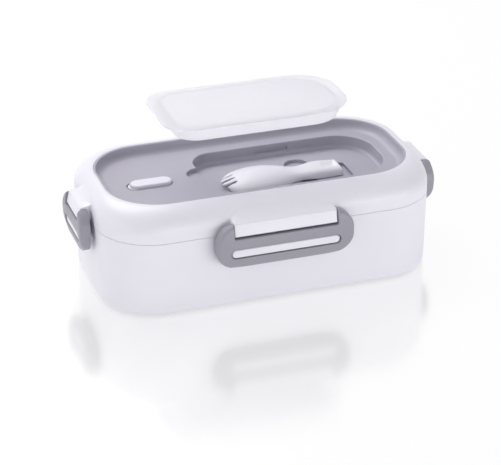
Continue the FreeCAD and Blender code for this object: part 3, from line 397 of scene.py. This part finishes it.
def short_pins():
    low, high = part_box("latch_pins_short")
    lying = Matrix.Rotation(math.radians(90), 4, "X")
    shape = bmesh.new()
    for middle in (low.x + short_pin_radius, high.x - short_pin_radius):
        spot = Matrix.Translation((middle, (low.y + high.y) / 2, (low.z + high.z) / 2))
        bmesh.ops.create_cone(shape, cap_ends=True, segments=rod_sides, radius1=short_pin_radius,
                              radius2=short_pin_radius, depth=2 * short_pin_half, matrix=spot @ lying)
    return mesh_of(shape, "short_pins")


new_piece("hinge_pins_short", short_pins(), screw_steel, "lid", "screw_steel", "latch_pins_short")

# The knuckles' roofs are drawn into the shoulder of the lid by a hollow sweep of the same moulding, so that
# no step shows above their faces. Their sizes are in millimetres.
mm = 0.001
front_reach, end_reach = 66.5, 121.25
front_depth, end_depth = 14.4, 9.4
shoulder_foot, shoulder_rise, shoulder_sweep = 61.3, 16.2, 82
roof_start, roof_level, roof_slope = 6.6, 66.52, 0.125
blend_turn, end_turn, blend_steps, blend_sink = 46, 25, 14, 0.04
root_depth, root_shares, roof_edge = 0.6, (1, 0.75, 0.5), 0.25
fade_length, fade_steps = 8.0, 8
front_half, end_half = 36.95, 15.45
knuckle_sites = ((front_half, front_reach, front_depth, 0), (front_half, front_reach, front_depth, 180),
                 (end_half, end_reach, end_depth, -90), (end_half, end_reach, end_depth, 90))


def shoulder_point(depth, turn):
    sweep, lean = math.radians(shoulder_sweep), math.radians(turn)
    inset = depth * (1 - math.cos(lean)) / (1 - math.cos(sweep))
    return Vector((-inset, shoulder_foot + shoulder_rise * math.sin(lean) / math.sin(sweep)))


# The roof leaves the knuckle along its own slope and runs into the shoulder without a kink.
def roof_profile(depth, turn):
    start = Vector((roof_start, roof_level))
    end = shoulder_point(depth, turn)
    along = end - shoulder_point(depth, turn - 1)
    back = Vector((-1, roof_slope))
    gap = end - start
    bend = start + back * (gap.cross(along) / back.cross(along))
    curve = []
    for step in range(blend_steps + 1):
        share = step / blend_steps
        spot = start * (1 - share) ** 2 + bend * 2 * share * (1 - share) + end * share ** 2
        curve.append(spot - Vector((blend_sink, blend_sink)))
    inside = Vector((root_depth, 0))
    root = [shoulder_point(depth, turn * share) - inside for share in root_shares]
    heel = Vector((bend.x, start.y)) - Vector((0, root_depth))
    return curve + root + [heel, start - Vector((0, root_depth))]


# A skin over a row of loops, closed at both ends.
def skin_over(shape, loops):
    for low, high in zip(loops, loops[1:]):
        for index in range(len(low)):
            shape.faces.new((low[index - 1], low[index], high[index], high[index - 1]))
    shape.faces.new(loops[0])
    shape.faces.new(loops[-1][::-1])


def roof_mesh():
    shape = bmesh.new()
    for half, reach, depth, turn in knuckle_sites:
        turned = Matrix.Rotation(math.radians(turn), 3, "Z")
        rows = [(half, end_turn, roof_edge)]
        for step in range(fade_steps + 1):
            share = step / fade_steps
            row_turn = end_turn + (blend_turn - end_turn) * math.sin(share * math.pi / 2)
            rows.append((half - roof_edge - fade_length * share, row_turn, 0))
        rows = [(-across, *rest) for across, *rest in rows] + rows[::-1]
        loops = []
        for across, row_turn, sunk in rows:
            loops.append([shape.verts.new(turned @ Vector((across, -reach - out, level - sunk)) * mm)
                          for out, level in roof_profile(depth, row_turn)])
        skin_over(shape, loops)
    return mesh_of(shape, "knuckle_roofs", angle=30)


new_piece("knuckle_roofs", roof_mesh(), white_plastic, "lid", "white_plastic")

# The inner lid is a pale dish welded under the shell. A soft silicone ring in its groove seals the food
# container when the latches pull the lid down.
finish_node("lid_inner", liner_plastic)
finish_node("lid_gasket", silicone)

# The panel is the grey inlay of the lid with the cutlery recess, moulded in satin plastic and snapped
# into the rim.
grey_plastic = plastic("satin grey polypropylene", (0.425, 0.412, 0.482), roughness=0.42)
finish_node("lid_panel", grey_plastic)

# The steam vent is a white pill on the panel. It tilts up on a steel pin, and its silicone stopper then
# leaves the steam hole. A thin lip at its heel closes most of the gap that the tilt needs.
vent_edge = 0.0003
finish_node("vent_pin", screw_steel)
pill_mesh = broken_edges("vent_flap", vent_edge)
new_piece("vent_pill", pill_mesh, white_plastic, "vent_flap", "white_plastic", "vent_flap")
finish_node("vent_stopper", silicone)
vent_length, vent_radius = 0.030, 0.00575
lip_reach, lip_foot, lip_top = 0.0016, 0.00072, 0.00105
lip_steps = 20


def heel_lip():
    pill_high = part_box("vent_flap")[1]
    pin_low, pin_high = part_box("vent_pin")
    axle, middle = (pin_low.z + pin_high.z) / 2, (pin_low.y + pin_high.y) / 2
    centre = pill_high.x - vent_length - lip_reach + vent_radius
    turns = [math.radians(90 + 180 * step / lip_steps) for step in range(lip_steps + 1)]
    heel = [(centre + vent_radius * math.cos(turn), middle + vent_radius * math.sin(turn)) for turn in turns]
    shape = bmesh.new()
    layers = [[shape.verts.new((x, y, axle + level)) for x, y in heel] for level in (lip_foot, lip_top)]
    skin_over(shape, layers)
    return mesh_of(shape, "vent_heel_lip")


new_piece("vent_heel_lip", heel_lip(), white_plastic, "vent_flap", "white_plastic")

# Each latch is a grey moulded plate with a finger slot, hung on the lid's knuckle by two ears.
# Its front swells a little and rolls over into the sides. Its back is hollow, so that the slot snaps over
# the white catch rib of the base.
latch_plastic = plastic("satin latch grey", (0.305, 0.296, 0.35), roughness=0.4)
# The sizes of the latches and the ribs are in millimetres.
latch_bottom, latch_top, latch_corner = 33.2, 66.3, 14.5
pivot_level, pivot_out, eye_radius = 62.5, 6.2, 3.8
toe_level, toe_out, toe_foot, face_out, face_swell = 37.4, 9.1, 5.8, 10.0, 1.1
notch_level, notch_round = 56.1, 0.8
slot_level, slot_half_width = 44.8, 3.6
cheek_out, eye_back, plate_back, thin_plate = 3.0, 2.4, 7.4, 1.2
outer_round, edge_round = 2.4, 0.7
round_turns = (0, 18, 36, 54, 72, 90)
slot_turns = (0, 45, 90)
ear_steps, foot_steps, slot_steps, nook_steps = 10, 14, 12, 3
round_passes, corner_limit = 3, 0.5
grid_step, grid_gap, join_distance = 2.4, 0.7, 0.00001
room_margin, room_step, room_points = 1.0, 1.5, 16
ear_step, ear_points, step_gap = 1.2, 3, 0.1
least_wall, hole_share = 0.3, 0.999


# How far the front of a latch stands out from the wall at a level.
def latch_front_out(level):
    if level > pivot_level:
        return pivot_out + math.sqrt(max(eye_radius ** 2 - (level - pivot_level) ** 2, 0))
    if level < toe_level:
        share = (toe_level - level) / (toe_level - latch_bottom)
        return toe_foot + (toe_out - toe_foot) * math.sqrt(max(1 - share ** 2, 0))
    share = (level - toe_level) / (pivot_level - toe_level)
    return toe_out + (face_out - toe_out) * share + 4 * face_swell * share * (1 - share)


# How far its back stands out: the plate is hollow behind the slot and full at the cheeks and the ears.
def latch_back_out(across, level, room_half):
    if abs(across) < room_half and level < notch_level:
        return min(plate_back, latch_front_out(level) - thin_plate)
    if level > pivot_level:
        return pivot_out - math.sqrt(max(eye_radius ** 2 - (level - pivot_level) ** 2, 0))
    share = max(level - (pivot_level - eye_radius), 0) / eye_radius
    return cheek_out + (eye_back - cheek_out) * share


def arc_points(centre, radius, start, end, steps):
    return [(centre[0] + radius * math.cos(math.radians(start + (end - start) * step / steps)),
             centre[1] + radius * math.sin(math.radians(start + (end - start) * step / steps)))
            for step in range(steps + 1)]


def line_points(start, end, step):
    count = max(round(math.dist(start, end) / step), 1)
    return [(start[0] + (end[0] - start[0]) * index / count, start[1] + (end[1] - start[1]) * index / count)
            for index in range(1, count)]


# The outline of a latch, seen from its front, and the edge round at each of its points.
def latch_outline(half, notch_half):
    bend = half - latch_corner
    eye_turn = math.degrees(math.acos((notch_half - bend) / latch_corner))
    tip = arc_points((bend, latch_top - latch_corner), latch_corner, eye_turn, 0, 1)[0]
    ear = arc_points((-bend, latch_top - latch_corner), latch_corner, 180 - eye_turn, 180, ear_steps)
    left_foot = arc_points((-bend, latch_bottom + latch_corner), latch_corner, 180, 270, foot_steps)
    right_foot = arc_points((bend, latch_bottom + latch_corner), latch_corner, 270, 360, foot_steps)
    right_ear = arc_points((bend, latch_top - latch_corner), latch_corner, 0, eye_turn, ear_steps)[:-1]
    inner = notch_half - notch_round
    right_nook = arc_points((inner, notch_level + notch_round), notch_round, 0, -90, nook_steps)
    left_nook = arc_points((-inner, notch_level + notch_round), notch_round, -90, -180, nook_steps)
    sharp = [tip] + line_points(tip, right_nook[0], grid_step) + right_nook
    sharp += line_points(right_nook[-1], left_nook[0], grid_step) + left_nook
    sharp += line_points(left_nook[-1], ear[0], grid_step) + [ear[0]]
    full = ear[1:] + left_foot[1:]
    foot = line_points(left_foot[-1], right_foot[0], grid_step)
    full_end = right_foot + right_ear[1:]
    points = sharp + full + foot + full_end
    rounds = [edge_round] * len(sharp) + [outer_round] * len(full)
    rounds += [edge_round] * len(foot) + [outer_round] * len(full_end)
    for _ in range(round_passes):
        rounds = [(rounds[index - 1] + 2 * rounds[index] + rounds[(index + 1) % len(rounds)]) / 4
                  for index in range(len(rounds))]
    return points, rounds


# A closed outline moved sideways, by its own distance at each point.
def inset_loop(points, distances):
    moved = []
    for index, point in enumerate(points):
        before, after = Vector(points[index - 1]), Vector(points[(index + 1) % len(points)])
        here = Vector(point)
        first = (here - before).normalized().orthogonal()
        second = (after - here).normalized().orthogonal()
        push = (first + second) / max(1 + first.dot(second), corner_limit)
        moved.append(tuple(here + push * distances[index]))
    return moved


# Whether a point lies inside a closed outline.
def within(point, loop):
    crossed = False
    for index in range(len(loop)):
        first, second = loop[index - 1], loop[index]
        if (first[1] > point[1]) != (second[1] > point[1]):
            edge = first[0] + (point[1] - first[1]) / (second[1] - first[1]) * (second[0] - first[0])
            crossed ^= point[0] < edge
    return crossed


# The distance of a point from the middle line of the slot.
def off_slot(point, straight):
    return math.hypot(max(abs(point[0]) - straight, 0), point[1] - slot_level)


# The plate is laid out flat and filled with faces, and each point then gets its front and its back.
def latch_mesh(name, half, slot_half, notch_half, half_span, turn):
    outline, rounds = latch_outline(half, notch_half)
    room_half = slot_half + room_margin
    straight = slot_half - slot_half_width
    window = arc_points((straight, slot_level), slot_half_width, 90, -90, slot_steps)
    window += line_points(window[-1], (-straight, slot_level - slot_half_width), grid_step)
    window += arc_points((-straight, slot_level), slot_half_width, 270, 90, slot_steps)
    window += line_points(window[-1], window[0], grid_step)
    flats, drops, edges = [], [], []

    def add_loop(points, falls):
        start = len(flats)
        flats.extend(Vector(point) for point in points)
        drops.extend(falls)
        edges.extend((start + index, start + (index + 1) % len(points)) for index in range(len(points)))
        return list(range(start, len(flats)))

    rims = []
    for turned in round_turns:
        lean = math.radians(turned)
        loop = inset_loop(outline, [size * (1 - math.cos(lean)) for size in rounds])
        rims.append(add_loop(loop, [size * (1 - math.sin(lean)) for size in rounds]))
    for turned in slot_turns:
        lean = math.radians(turned)
        loop = inset_loop(window, [edge_round * (1 - math.cos(lean))] * len(window))
        rims.append(add_loop(loop, [edge_round * (1 - math.sin(lean))] * len(window)))
    face_loop = [tuple(flats[index]) for index in rims[len(round_turns) - 1]]
    keep_off = inset_loop(face_loop, [grid_gap] * len(face_loop))
    spots = []
    across = -half
    while across < half:
        level = latch_bottom
        while level < latch_top:
            spots.append((across, level))
            level += grid_step
        across += grid_step
    shifts = (-step_gap, step_gap)
    for side in (-1, 1):
        spots += [(side * room_half + shift, latch_bottom + room_step * step)
                  for shift in shifts for step in range(room_points)]
    for side in (-1, 1):
        spots += [(side * (notch_half + ear_step * step), notch_level + shift)
                  for step in range(1, ear_points + 1) for shift in shifts]
    for spot in spots:
        if within(spot, keep_off) and off_slot(spot, straight) > slot_half_width + edge_round + grid_gap:
            flats.append(Vector(spot))
            drops.append(0.0)
    points, _, faces, origins, _, _ = delaunay_2d_cdt(flats, edges, [], 0, join_distance)
    falls = [drops[origin[0]] if origin else 0.0 for origin in origins]
    place_of = {index: found for found, origin in enumerate(origins) for index in origin}
    shape = bmesh.new()
    turned = Matrix.Rotation(math.radians(turn), 3, "Z")
    fronts, backs = [], []
    for point, fall in zip(points, falls):
        back = latch_back_out(point[0], point[1], room_half)
        front = max(latch_front_out(point[1]) - fall, back + least_wall)
        for out, layer in ((front, fronts), (back, backs)):
            layer.append(shape.verts.new(turned @ Vector((point[0], -half_span - out, point[1])) * mm))
    for face in faces:
        middle = sum((points[index] for index in face), Vector((0, 0))) / len(face)
        if within(middle, outline) and off_slot(middle, straight) > slot_half_width * hole_share:
            shape.faces.new([fronts[index] for index in face])
            shape.faces.new([backs[index] for index in reversed(face)])
    for rim in (rims[0], rims[len(round_turns)]):
        for index in range(len(rim)):
            here, after = place_of[rim[index - 1]], place_of[rim[index]]
            shape.faces.new((fronts[here], backs[here], backs[after], fronts[after]))
    loose = [vert for vert in shape.verts if not vert.link_faces]
    bmesh.ops.delete(shape, geom=loose, context="VERTS")
    return mesh_of(shape, name, angle=42)


# The half widths of the plate, of its slot and of the notch between its ears.
long_latch, short_latch = (49.5, 39.75, 37.5), (25.5, 18.75, 16.0)
latch_sites = (("front", *long_latch, front_reach, 0), ("back", *long_latch, front_reach, 180),
               ("left", *short_latch, end_reach, -90), ("right", *short_latch, end_reach, 90))
for side, half, slot_half, notch_half, reach, turn in latch_sites:
    latch_node = "latch_" + side
    snap_mesh = latch_mesh("snap_" + side, half, slot_half, notch_half, reach, turn)
    new_piece("snap_" + side, snap_mesh, latch_plastic, latch_node, "latch_plastic", latch_node)

# The faces of the catch ribs are part of the base's moulding, in the same white plastic. They are rounded
# at the edge and fill the slots of the shut latches.
rib_side, rib_end, rib_root, rib_face, rib_round = 0.75, 0.8, 6.5, 9.3, 0.6
rib_lean, rib_steps = 0.3, 14


def rib_mesh():
    shape = bmesh.new()
    for _, _, slot_half, _, reach, turn in latch_sites:
        turned = Matrix.Rotation(math.radians(turn), 3, "Z")
        radius = slot_half_width - rib_side
        straight = slot_half - rib_end - radius
        loops = []
        cut = rib_lean * rib_round
        for out, inset in ((rib_root, 0.0), (rib_face - rib_round, 0.0), (rib_face - cut, cut),
                           (rib_face, rib_round)):
            pill = arc_points((straight, slot_level), radius - inset, -90, 90, rib_steps)
            pill += arc_points((-straight, slot_level), radius - inset, 90, 270, rib_steps)
            loops.append([shape.verts.new(turned @ Vector((x, -reach - out, z)) * mm) for x, z in pill])
        skin_over(shape, loops)
    return mesh_of(shape, "rib_faces", angle=50)


new_piece("catch_rib_faces", rib_mesh(), white_plastic, "base", "white_plastic")

# The spork is a short one-piece moulding in white plastic that lies with its bowl upside down: four tines,
# a domed bowl, a narrow neck, and a boxed handle with a thumb dimple.
spork_plastic = plastic("satin white spork plastic", (0.85, 0.84, 0.89), roughness=0.3)
spork_low, spork_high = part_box("spork")
# Each station: its share of the length, of the half width and of the height.
spork_stations = (
    (0.0, 0.50, 0.36), (0.03, 0.62, 0.47), (0.075, 0.77, 0.62), (0.118, 0.88, 0.75), (0.135, 0.91, 0.79),
    (0.2, 0.98, 0.94), (0.27, 1.0, 1.03), (0.34, 1.0, 1.05), (0.42, 0.93, 1.02), (0.5, 0.77, 0.9),
    (0.57, 0.58, 0.74), (0.63, 0.48, 0.65), (0.69, 0.51, 0.69), (0.745, 0.59, 0.77), (0.8, 0.61, 0.77),
    (0.835, 0.6, 0.75), (0.846, 0.597, 0.745), (0.933, 0.56, 0.69), (0.944, 0.555, 0.685),
    (0.958, 0.55, 0.68), (0.968, 0.54, 0.67))
outer_shares = (0.4, 0.75, 0.94, 1.0)
slot_columns = (-4, -1, 2)
tine_root, tine_slot_end = 0.12, 0.11
tine_edges = (0.0008, 0.0028, 0.0048, 0.0063)
slot_flare = 0.0004
tine_round, tip_bow = 0.0009, 0.0032
box_start, box_length = 0.55, 0.25
bowl_power, box_power = 2.4, 2.2
dimple_span = (0.846, 0.933)
dimple_half = 0.0042
dimple_depth = 0.0016
end_gap, spork_weld = 0.0002, 0.00001
spork_skin, spork_levels = 0.0017, 2


# The points across the spork: the edges and middles of the tines first, then the sides.
def spork_columns(half, flare):
    slot_side, middle, far_side, outer_side = tine_edges
    inner = [slot_side + flare, middle, far_side - flare, outer_side + flare]
    outer = [inner[-1] + share * (half - inner[-1]) for share in outer_shares]
    ups = inner + outer
    return [-up for up in reversed(ups)] + ups


# The upper skin, row by row from the tines to the handle's end. The slots between the tines stay open.
def spork_mesh():
    length = spork_high.x - spork_low.x
    full_half = (spork_high.y - spork_low.y) / 2
    middle = (spork_high.y + spork_low.y) / 2
    rise = spork_high.z - spork_low.z
    shape = bmesh.new()
    rows = []
    for share, width_share, rise_share in spork_stations:
        half = width_share * full_half
        boxed = min(max((share - box_start) / box_length, 0), 1)
        power = bowl_power + box_power * boxed
        row = []
        to_tip = max(1 - share / tine_root, 0)
        for across in spork_columns(half, slot_flare * to_tip):
            lean = min(abs(across) / half, 1)
            up = rise_share * rise * (1 - lean ** power) ** (1 / power)
            if dimple_span[0] <= share <= dimple_span[1] and abs(across) <= dimple_half:
                up -= dimple_depth
            tip = tip_bow * (across / half) ** 2 * to_tip
            if share == 0 and abs(across) != tine_edges[1]:
                tip += tine_round
            spot = (spork_low.x + share * length + tip, middle + across, spork_low.z + up)
            row.append(shape.verts.new(spot))
        rows.append(row)
    rows.append([shape.verts.new((vert.co.x + end_gap, vert.co.y, spork_low.z + end_gap))
                 for vert in rows[-1]])
    count = len(rows[0])
    slots = [count // 2 + column for column in slot_columns]
    for step in range(len(rows) - 1):
        for column in range(count - 1):
            if column in slots and step < len(spork_stations) and spork_stations[step][0] < tine_slot_end:
                continue
            shape.faces.new((rows[step][column], rows[step + 1][column],
                             rows[step + 1][column + 1], rows[step][column + 1]))
    bmesh.ops.remove_doubles(shape, verts=shape.verts, dist=spork_weld)
    bmesh.ops.recalc_face_normals(shape, faces=shape.faces)
    mesh = bpy.data.meshes.new("spork_skin")
    shape.to_mesh(mesh)
    shape.free()
    if sum(face.normal.z for face in mesh.polygons) < 0:
        mesh.flip_normals()
    return mesh


def thick_spork():
    blank = bpy.data.objects.new("spork_blank", spork_mesh())
    bpy.context.scene.collection.objects.link(blank)
    wall = blank.modifiers.new("wall", "SOLIDIFY")
    wall.thickness = spork_skin
    wall.offset = -1
    wall.use_even_offset = True
    round_off = blank.modifiers.new("round", "SUBSURF")
    round_off.levels = spork_levels
    round_off.render_levels = spork_levels
    made = plain_mesh(blank)
    bpy.data.objects.remove(blank)
    smooth(made, angle=60)
    return made


new_piece("moulded_spork", thick_spork(), spork_plastic, "spork", "spork_plastic", "spork")

# The cutlery cover is a thin moulded cap of frosted see-through plastic. Its skirt fits into the recess over
# the spork, and a shallow step runs round its top. Here it is lifted off and held above the box.
see_through, refraction, shadow_pass = 0.5, 1.2, 0.7


def frosted_plastic():
    made = plastic("frosted plastic", (0.86, 0.85, 0.89), roughness=0.38, shade=0.02, smear=0.06)
    tree = made.node_tree
    shader = tree.nodes["Principled BSDF"]
    shader.inputs["Transmission Weight"].default_value = see_through
    shader.inputs["IOR"].default_value = refraction
    clear = node_in(tree, "ShaderNodeBsdfTransparent")
    path = node_in(tree, "ShaderNodeLightPath")
    passed = math_in(tree, "MULTIPLY", path.outputs["Is Shadow Ray"], shadow_pass)
    mixed = node_in(tree, "ShaderNodeMixShader", [(passed, "Fac"), (shader.outputs[0], 1),
                                                  (clear.outputs[0], 2)])
    tree.links.new(mixed.outputs[0], tree.nodes["Material Output"].inputs["Surface"])
    return made


cover_low, cover_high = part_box("cutlery_cover")
cover_lap = 0.002
cover_corners = (0.019, 0.029)
skirt_insets = (0.0062 + cover_lap, 0.0035 + cover_lap, 0.0006 + cover_lap)
skirt_corners = (0.0164, 0.0264)
least_corner, corner_steps = 0.001, 14
flange_depth = 0.00145


# A rectangle with one corner radius on the left and a larger one on the right.
def egg_outline(left, right, front, back, corners, inset):
    left_round, right_round = (max(corner - inset, least_corner) for corner in corners)
    left, right, front, back = left + inset, right - inset, front + inset, back - inset
    points = []
    for centre_x, centre_y, radius, start in (
            (right - right_round, front + right_round, right_round, -90),
            (right - right_round, back - right_round, right_round, 0),
            (left + left_round, back - left_round, left_round, 90),
            (left + left_round, front + left_round, left_round, 180)):
        points += arc_points((centre_x, centre_y), radius, start, start + 90, corner_steps)
    return points


def cover_ring(on_skirt, inset):
    left, right, side = skirt_insets if on_skirt else (0, 0, 0)
    corners = skirt_corners if on_skirt else cover_corners
    return egg_outline(cover_low.x + left, cover_high.x - right, cover_low.y + side, cover_high.y - side,
                       corners, inset)


def cover_mesh():
    top, foot = cover_high.z, cover_low.z
    under = top - flange_depth
    # Each station: on the skirt's outline or the flange's, its inset and its level.
    stations = (
        (True, 0.0060, top - 0.0005), (True, 0.0036, top - 0.0005), (True, 0.0030, top - 0.00042),
        (True, 0.0022, top - 0.00008), (True, 0.0015, top), (False, 0.0010, top),
        (False, 0.0004, top - 0.00008), (False, 0.0001, top - 0.0004), (False, 0.0, top - 0.00075),
        (False, 0.0001, top - 0.0011), (False, 0.0004, top - 0.00142), (False, 0.0010, under),
        (True, -0.0003, under), (True, 0.0, under - 0.0003), (True, 0.0002, under - 0.0008),
        (True, 0.0005, foot + 0.0012), (True, 0.0006, foot + 0.0004), (True, 0.0009, foot + 0.0001),
        (True, 0.0012, foot), (True, 0.0015, foot + 0.0001), (True, 0.0018, foot + 0.0005),
        (True, 0.0015, under - 0.0009), (True, 0.0018, under - 0.0003), (True, 0.0024, under),
        (True, 0.0060, under))
    shape = bmesh.new()
    rings = [[shape.verts.new((x, y, level)) for x, y in cover_ring(on_skirt, inset)]
             for on_skirt, inset, level in stations]
    skin_over(shape, rings)
    return mesh_of(shape, "cover_cap", angle=50)


new_piece("frosted_cap", cover_mesh(), frosted_plastic(), "cutlery_cover", "frosted_plastic", "cutlery_cover")

# The box stands on a plain white glossy sheet under soft studio light: a large softbox above and behind,
# one at the left, and a long low strip at the front. The sheet glows faintly, and it and the backdrop are
# seen as white.
floor_half = 3.0
floor_mesh = bpy.data.meshes.new("floor")
floor_mesh.from_pydata([(-floor_half, -floor_half, 0), (floor_half, -floor_half, 0),
                        (floor_half, floor_half, 0), (-floor_half, floor_half, 0)], [], [(0, 1, 2, 3)])
floor = bpy.data.objects.new("floor", floor_mesh)
bpy.context.scene.collection.objects.link(floor)


# The rays that show a surface to the camera, straight on, mirrored or through the frosted cap.
def seen_rays(tree):
    path = node_in(tree, "ShaderNodeLightPath")
    seen = math_in(tree, "MAXIMUM", path.outputs["Is Camera Ray"], path.outputs["Is Glossy Ray"])
    return math_in(tree, "MAXIMUM", seen, path.outputs["Is Transmission Ray"])


sheet_white, sheet_shown, sheet_glow = 0.95, 0.88, 0.35
sheet_roughness, sheet_gloss = 0.16, 0.4


def floor_material():
    made = bpy.data.materials.new("white glossy sheet")
    made.use_nodes = True
    tree = made.node_tree
    tree.nodes.clear()
    matt = node_in(tree, "ShaderNodeBsdfDiffuse")
    matt.inputs["Color"].default_value = (sheet_white, sheet_white, sheet_white, 1)
    bright = node_in(tree, "ShaderNodeEmission")
    bright.inputs["Strength"].default_value = 1.0
    white = node_in(tree, "ShaderNodeMixShader", [(matt.outputs[0], 1), (bright.outputs[0], 2)])
    shown = math_in(tree, "MULTIPLY", seen_rays(tree), sheet_shown - sheet_glow)
    tree.links.new(math_in(tree, "ADD", shown, sheet_glow), white.inputs["Fac"])
    gloss = node_in(tree, "ShaderNodeBsdfGlossy")
    gloss.inputs["Color"].default_value = (1, 1, 1, 1)
    gloss.inputs["Roughness"].default_value = sheet_roughness
    mixed = node_in(tree, "ShaderNodeMixShader", [(white.outputs[0], 1), (gloss.outputs[0], 2)])
    mixed.inputs["Fac"].default_value = sheet_gloss
    out = node_in(tree, "ShaderNodeOutputMaterial", [(mixed.outputs[0], "Surface")])
    out.is_active_output = True
    return made


floor_mesh.materials.append(floor_material())
backdrop_seen, backdrop_light = 1.0, 0.45


def studio_world():
    world = bpy.data.worlds.new("studio")
    world.use_nodes = True
    bpy.context.scene.world = world
    tree = world.node_tree
    back = tree.nodes["Background"]
    lift = math_in(tree, "MULTIPLY", seen_rays(tree), backdrop_seen - backdrop_light)
    tree.links.new(math_in(tree, "ADD", lift, backdrop_light), back.inputs["Strength"])
    back.inputs["Color"].default_value = (1, 1, 1, 1)


studio_world()


def look_at(thing, place, aim):
    thing.location = place
    thing.rotation_euler = (Vector(aim) - Vector(place)).to_track_quat("-Z", "Y").to_euler()
    bpy.context.scene.collection.objects.link(thing)


def softbox(name, place, aim, width, height, power):
    light = bpy.data.lights.new(name, "AREA")
    light.shape = "RECTANGLE"
    light.size = width
    light.size_y = height
    light.energy = power
    look_at(bpy.data.objects.new(name, light), place, aim)


softbox("top softbox", place=(-0.25, 0.7, 1.1), aim=(0, 0, 0.06), width=0.9, height=0.7, power=11.0)
softbox("left softbox", place=(-1.25, -0.2, 0.4), aim=(0, 0, 0.05), width=0.9, height=0.5, power=2.8)
softbox("front softbox", place=(0.6, -1.4, 0.07), aim=(0, 0, 0.04), width=1.8, height=0.12, power=8.5)

# The camera stands at the place that was fitted to the photograph, to the left of the box and above it,
# with a long lens that looks at the middle of the box.
camera_place = (-0.40495, -1.1816, 0.6481)
camera_aim = (-0.000135, 0.0, 0.019582)
sensor_width, lens_length = 36.0, 139.46
lens_data = bpy.data.cameras.new("camera")
lens_data.sensor_width = sensor_width
lens_data.lens = lens_length
camera = bpy.data.objects.new("camera", lens_data)
look_at(camera, camera_place, camera_aim)
bpy.context.scene.camera = camera
bpy.context.scene.view_settings.view_transform = "Standard"
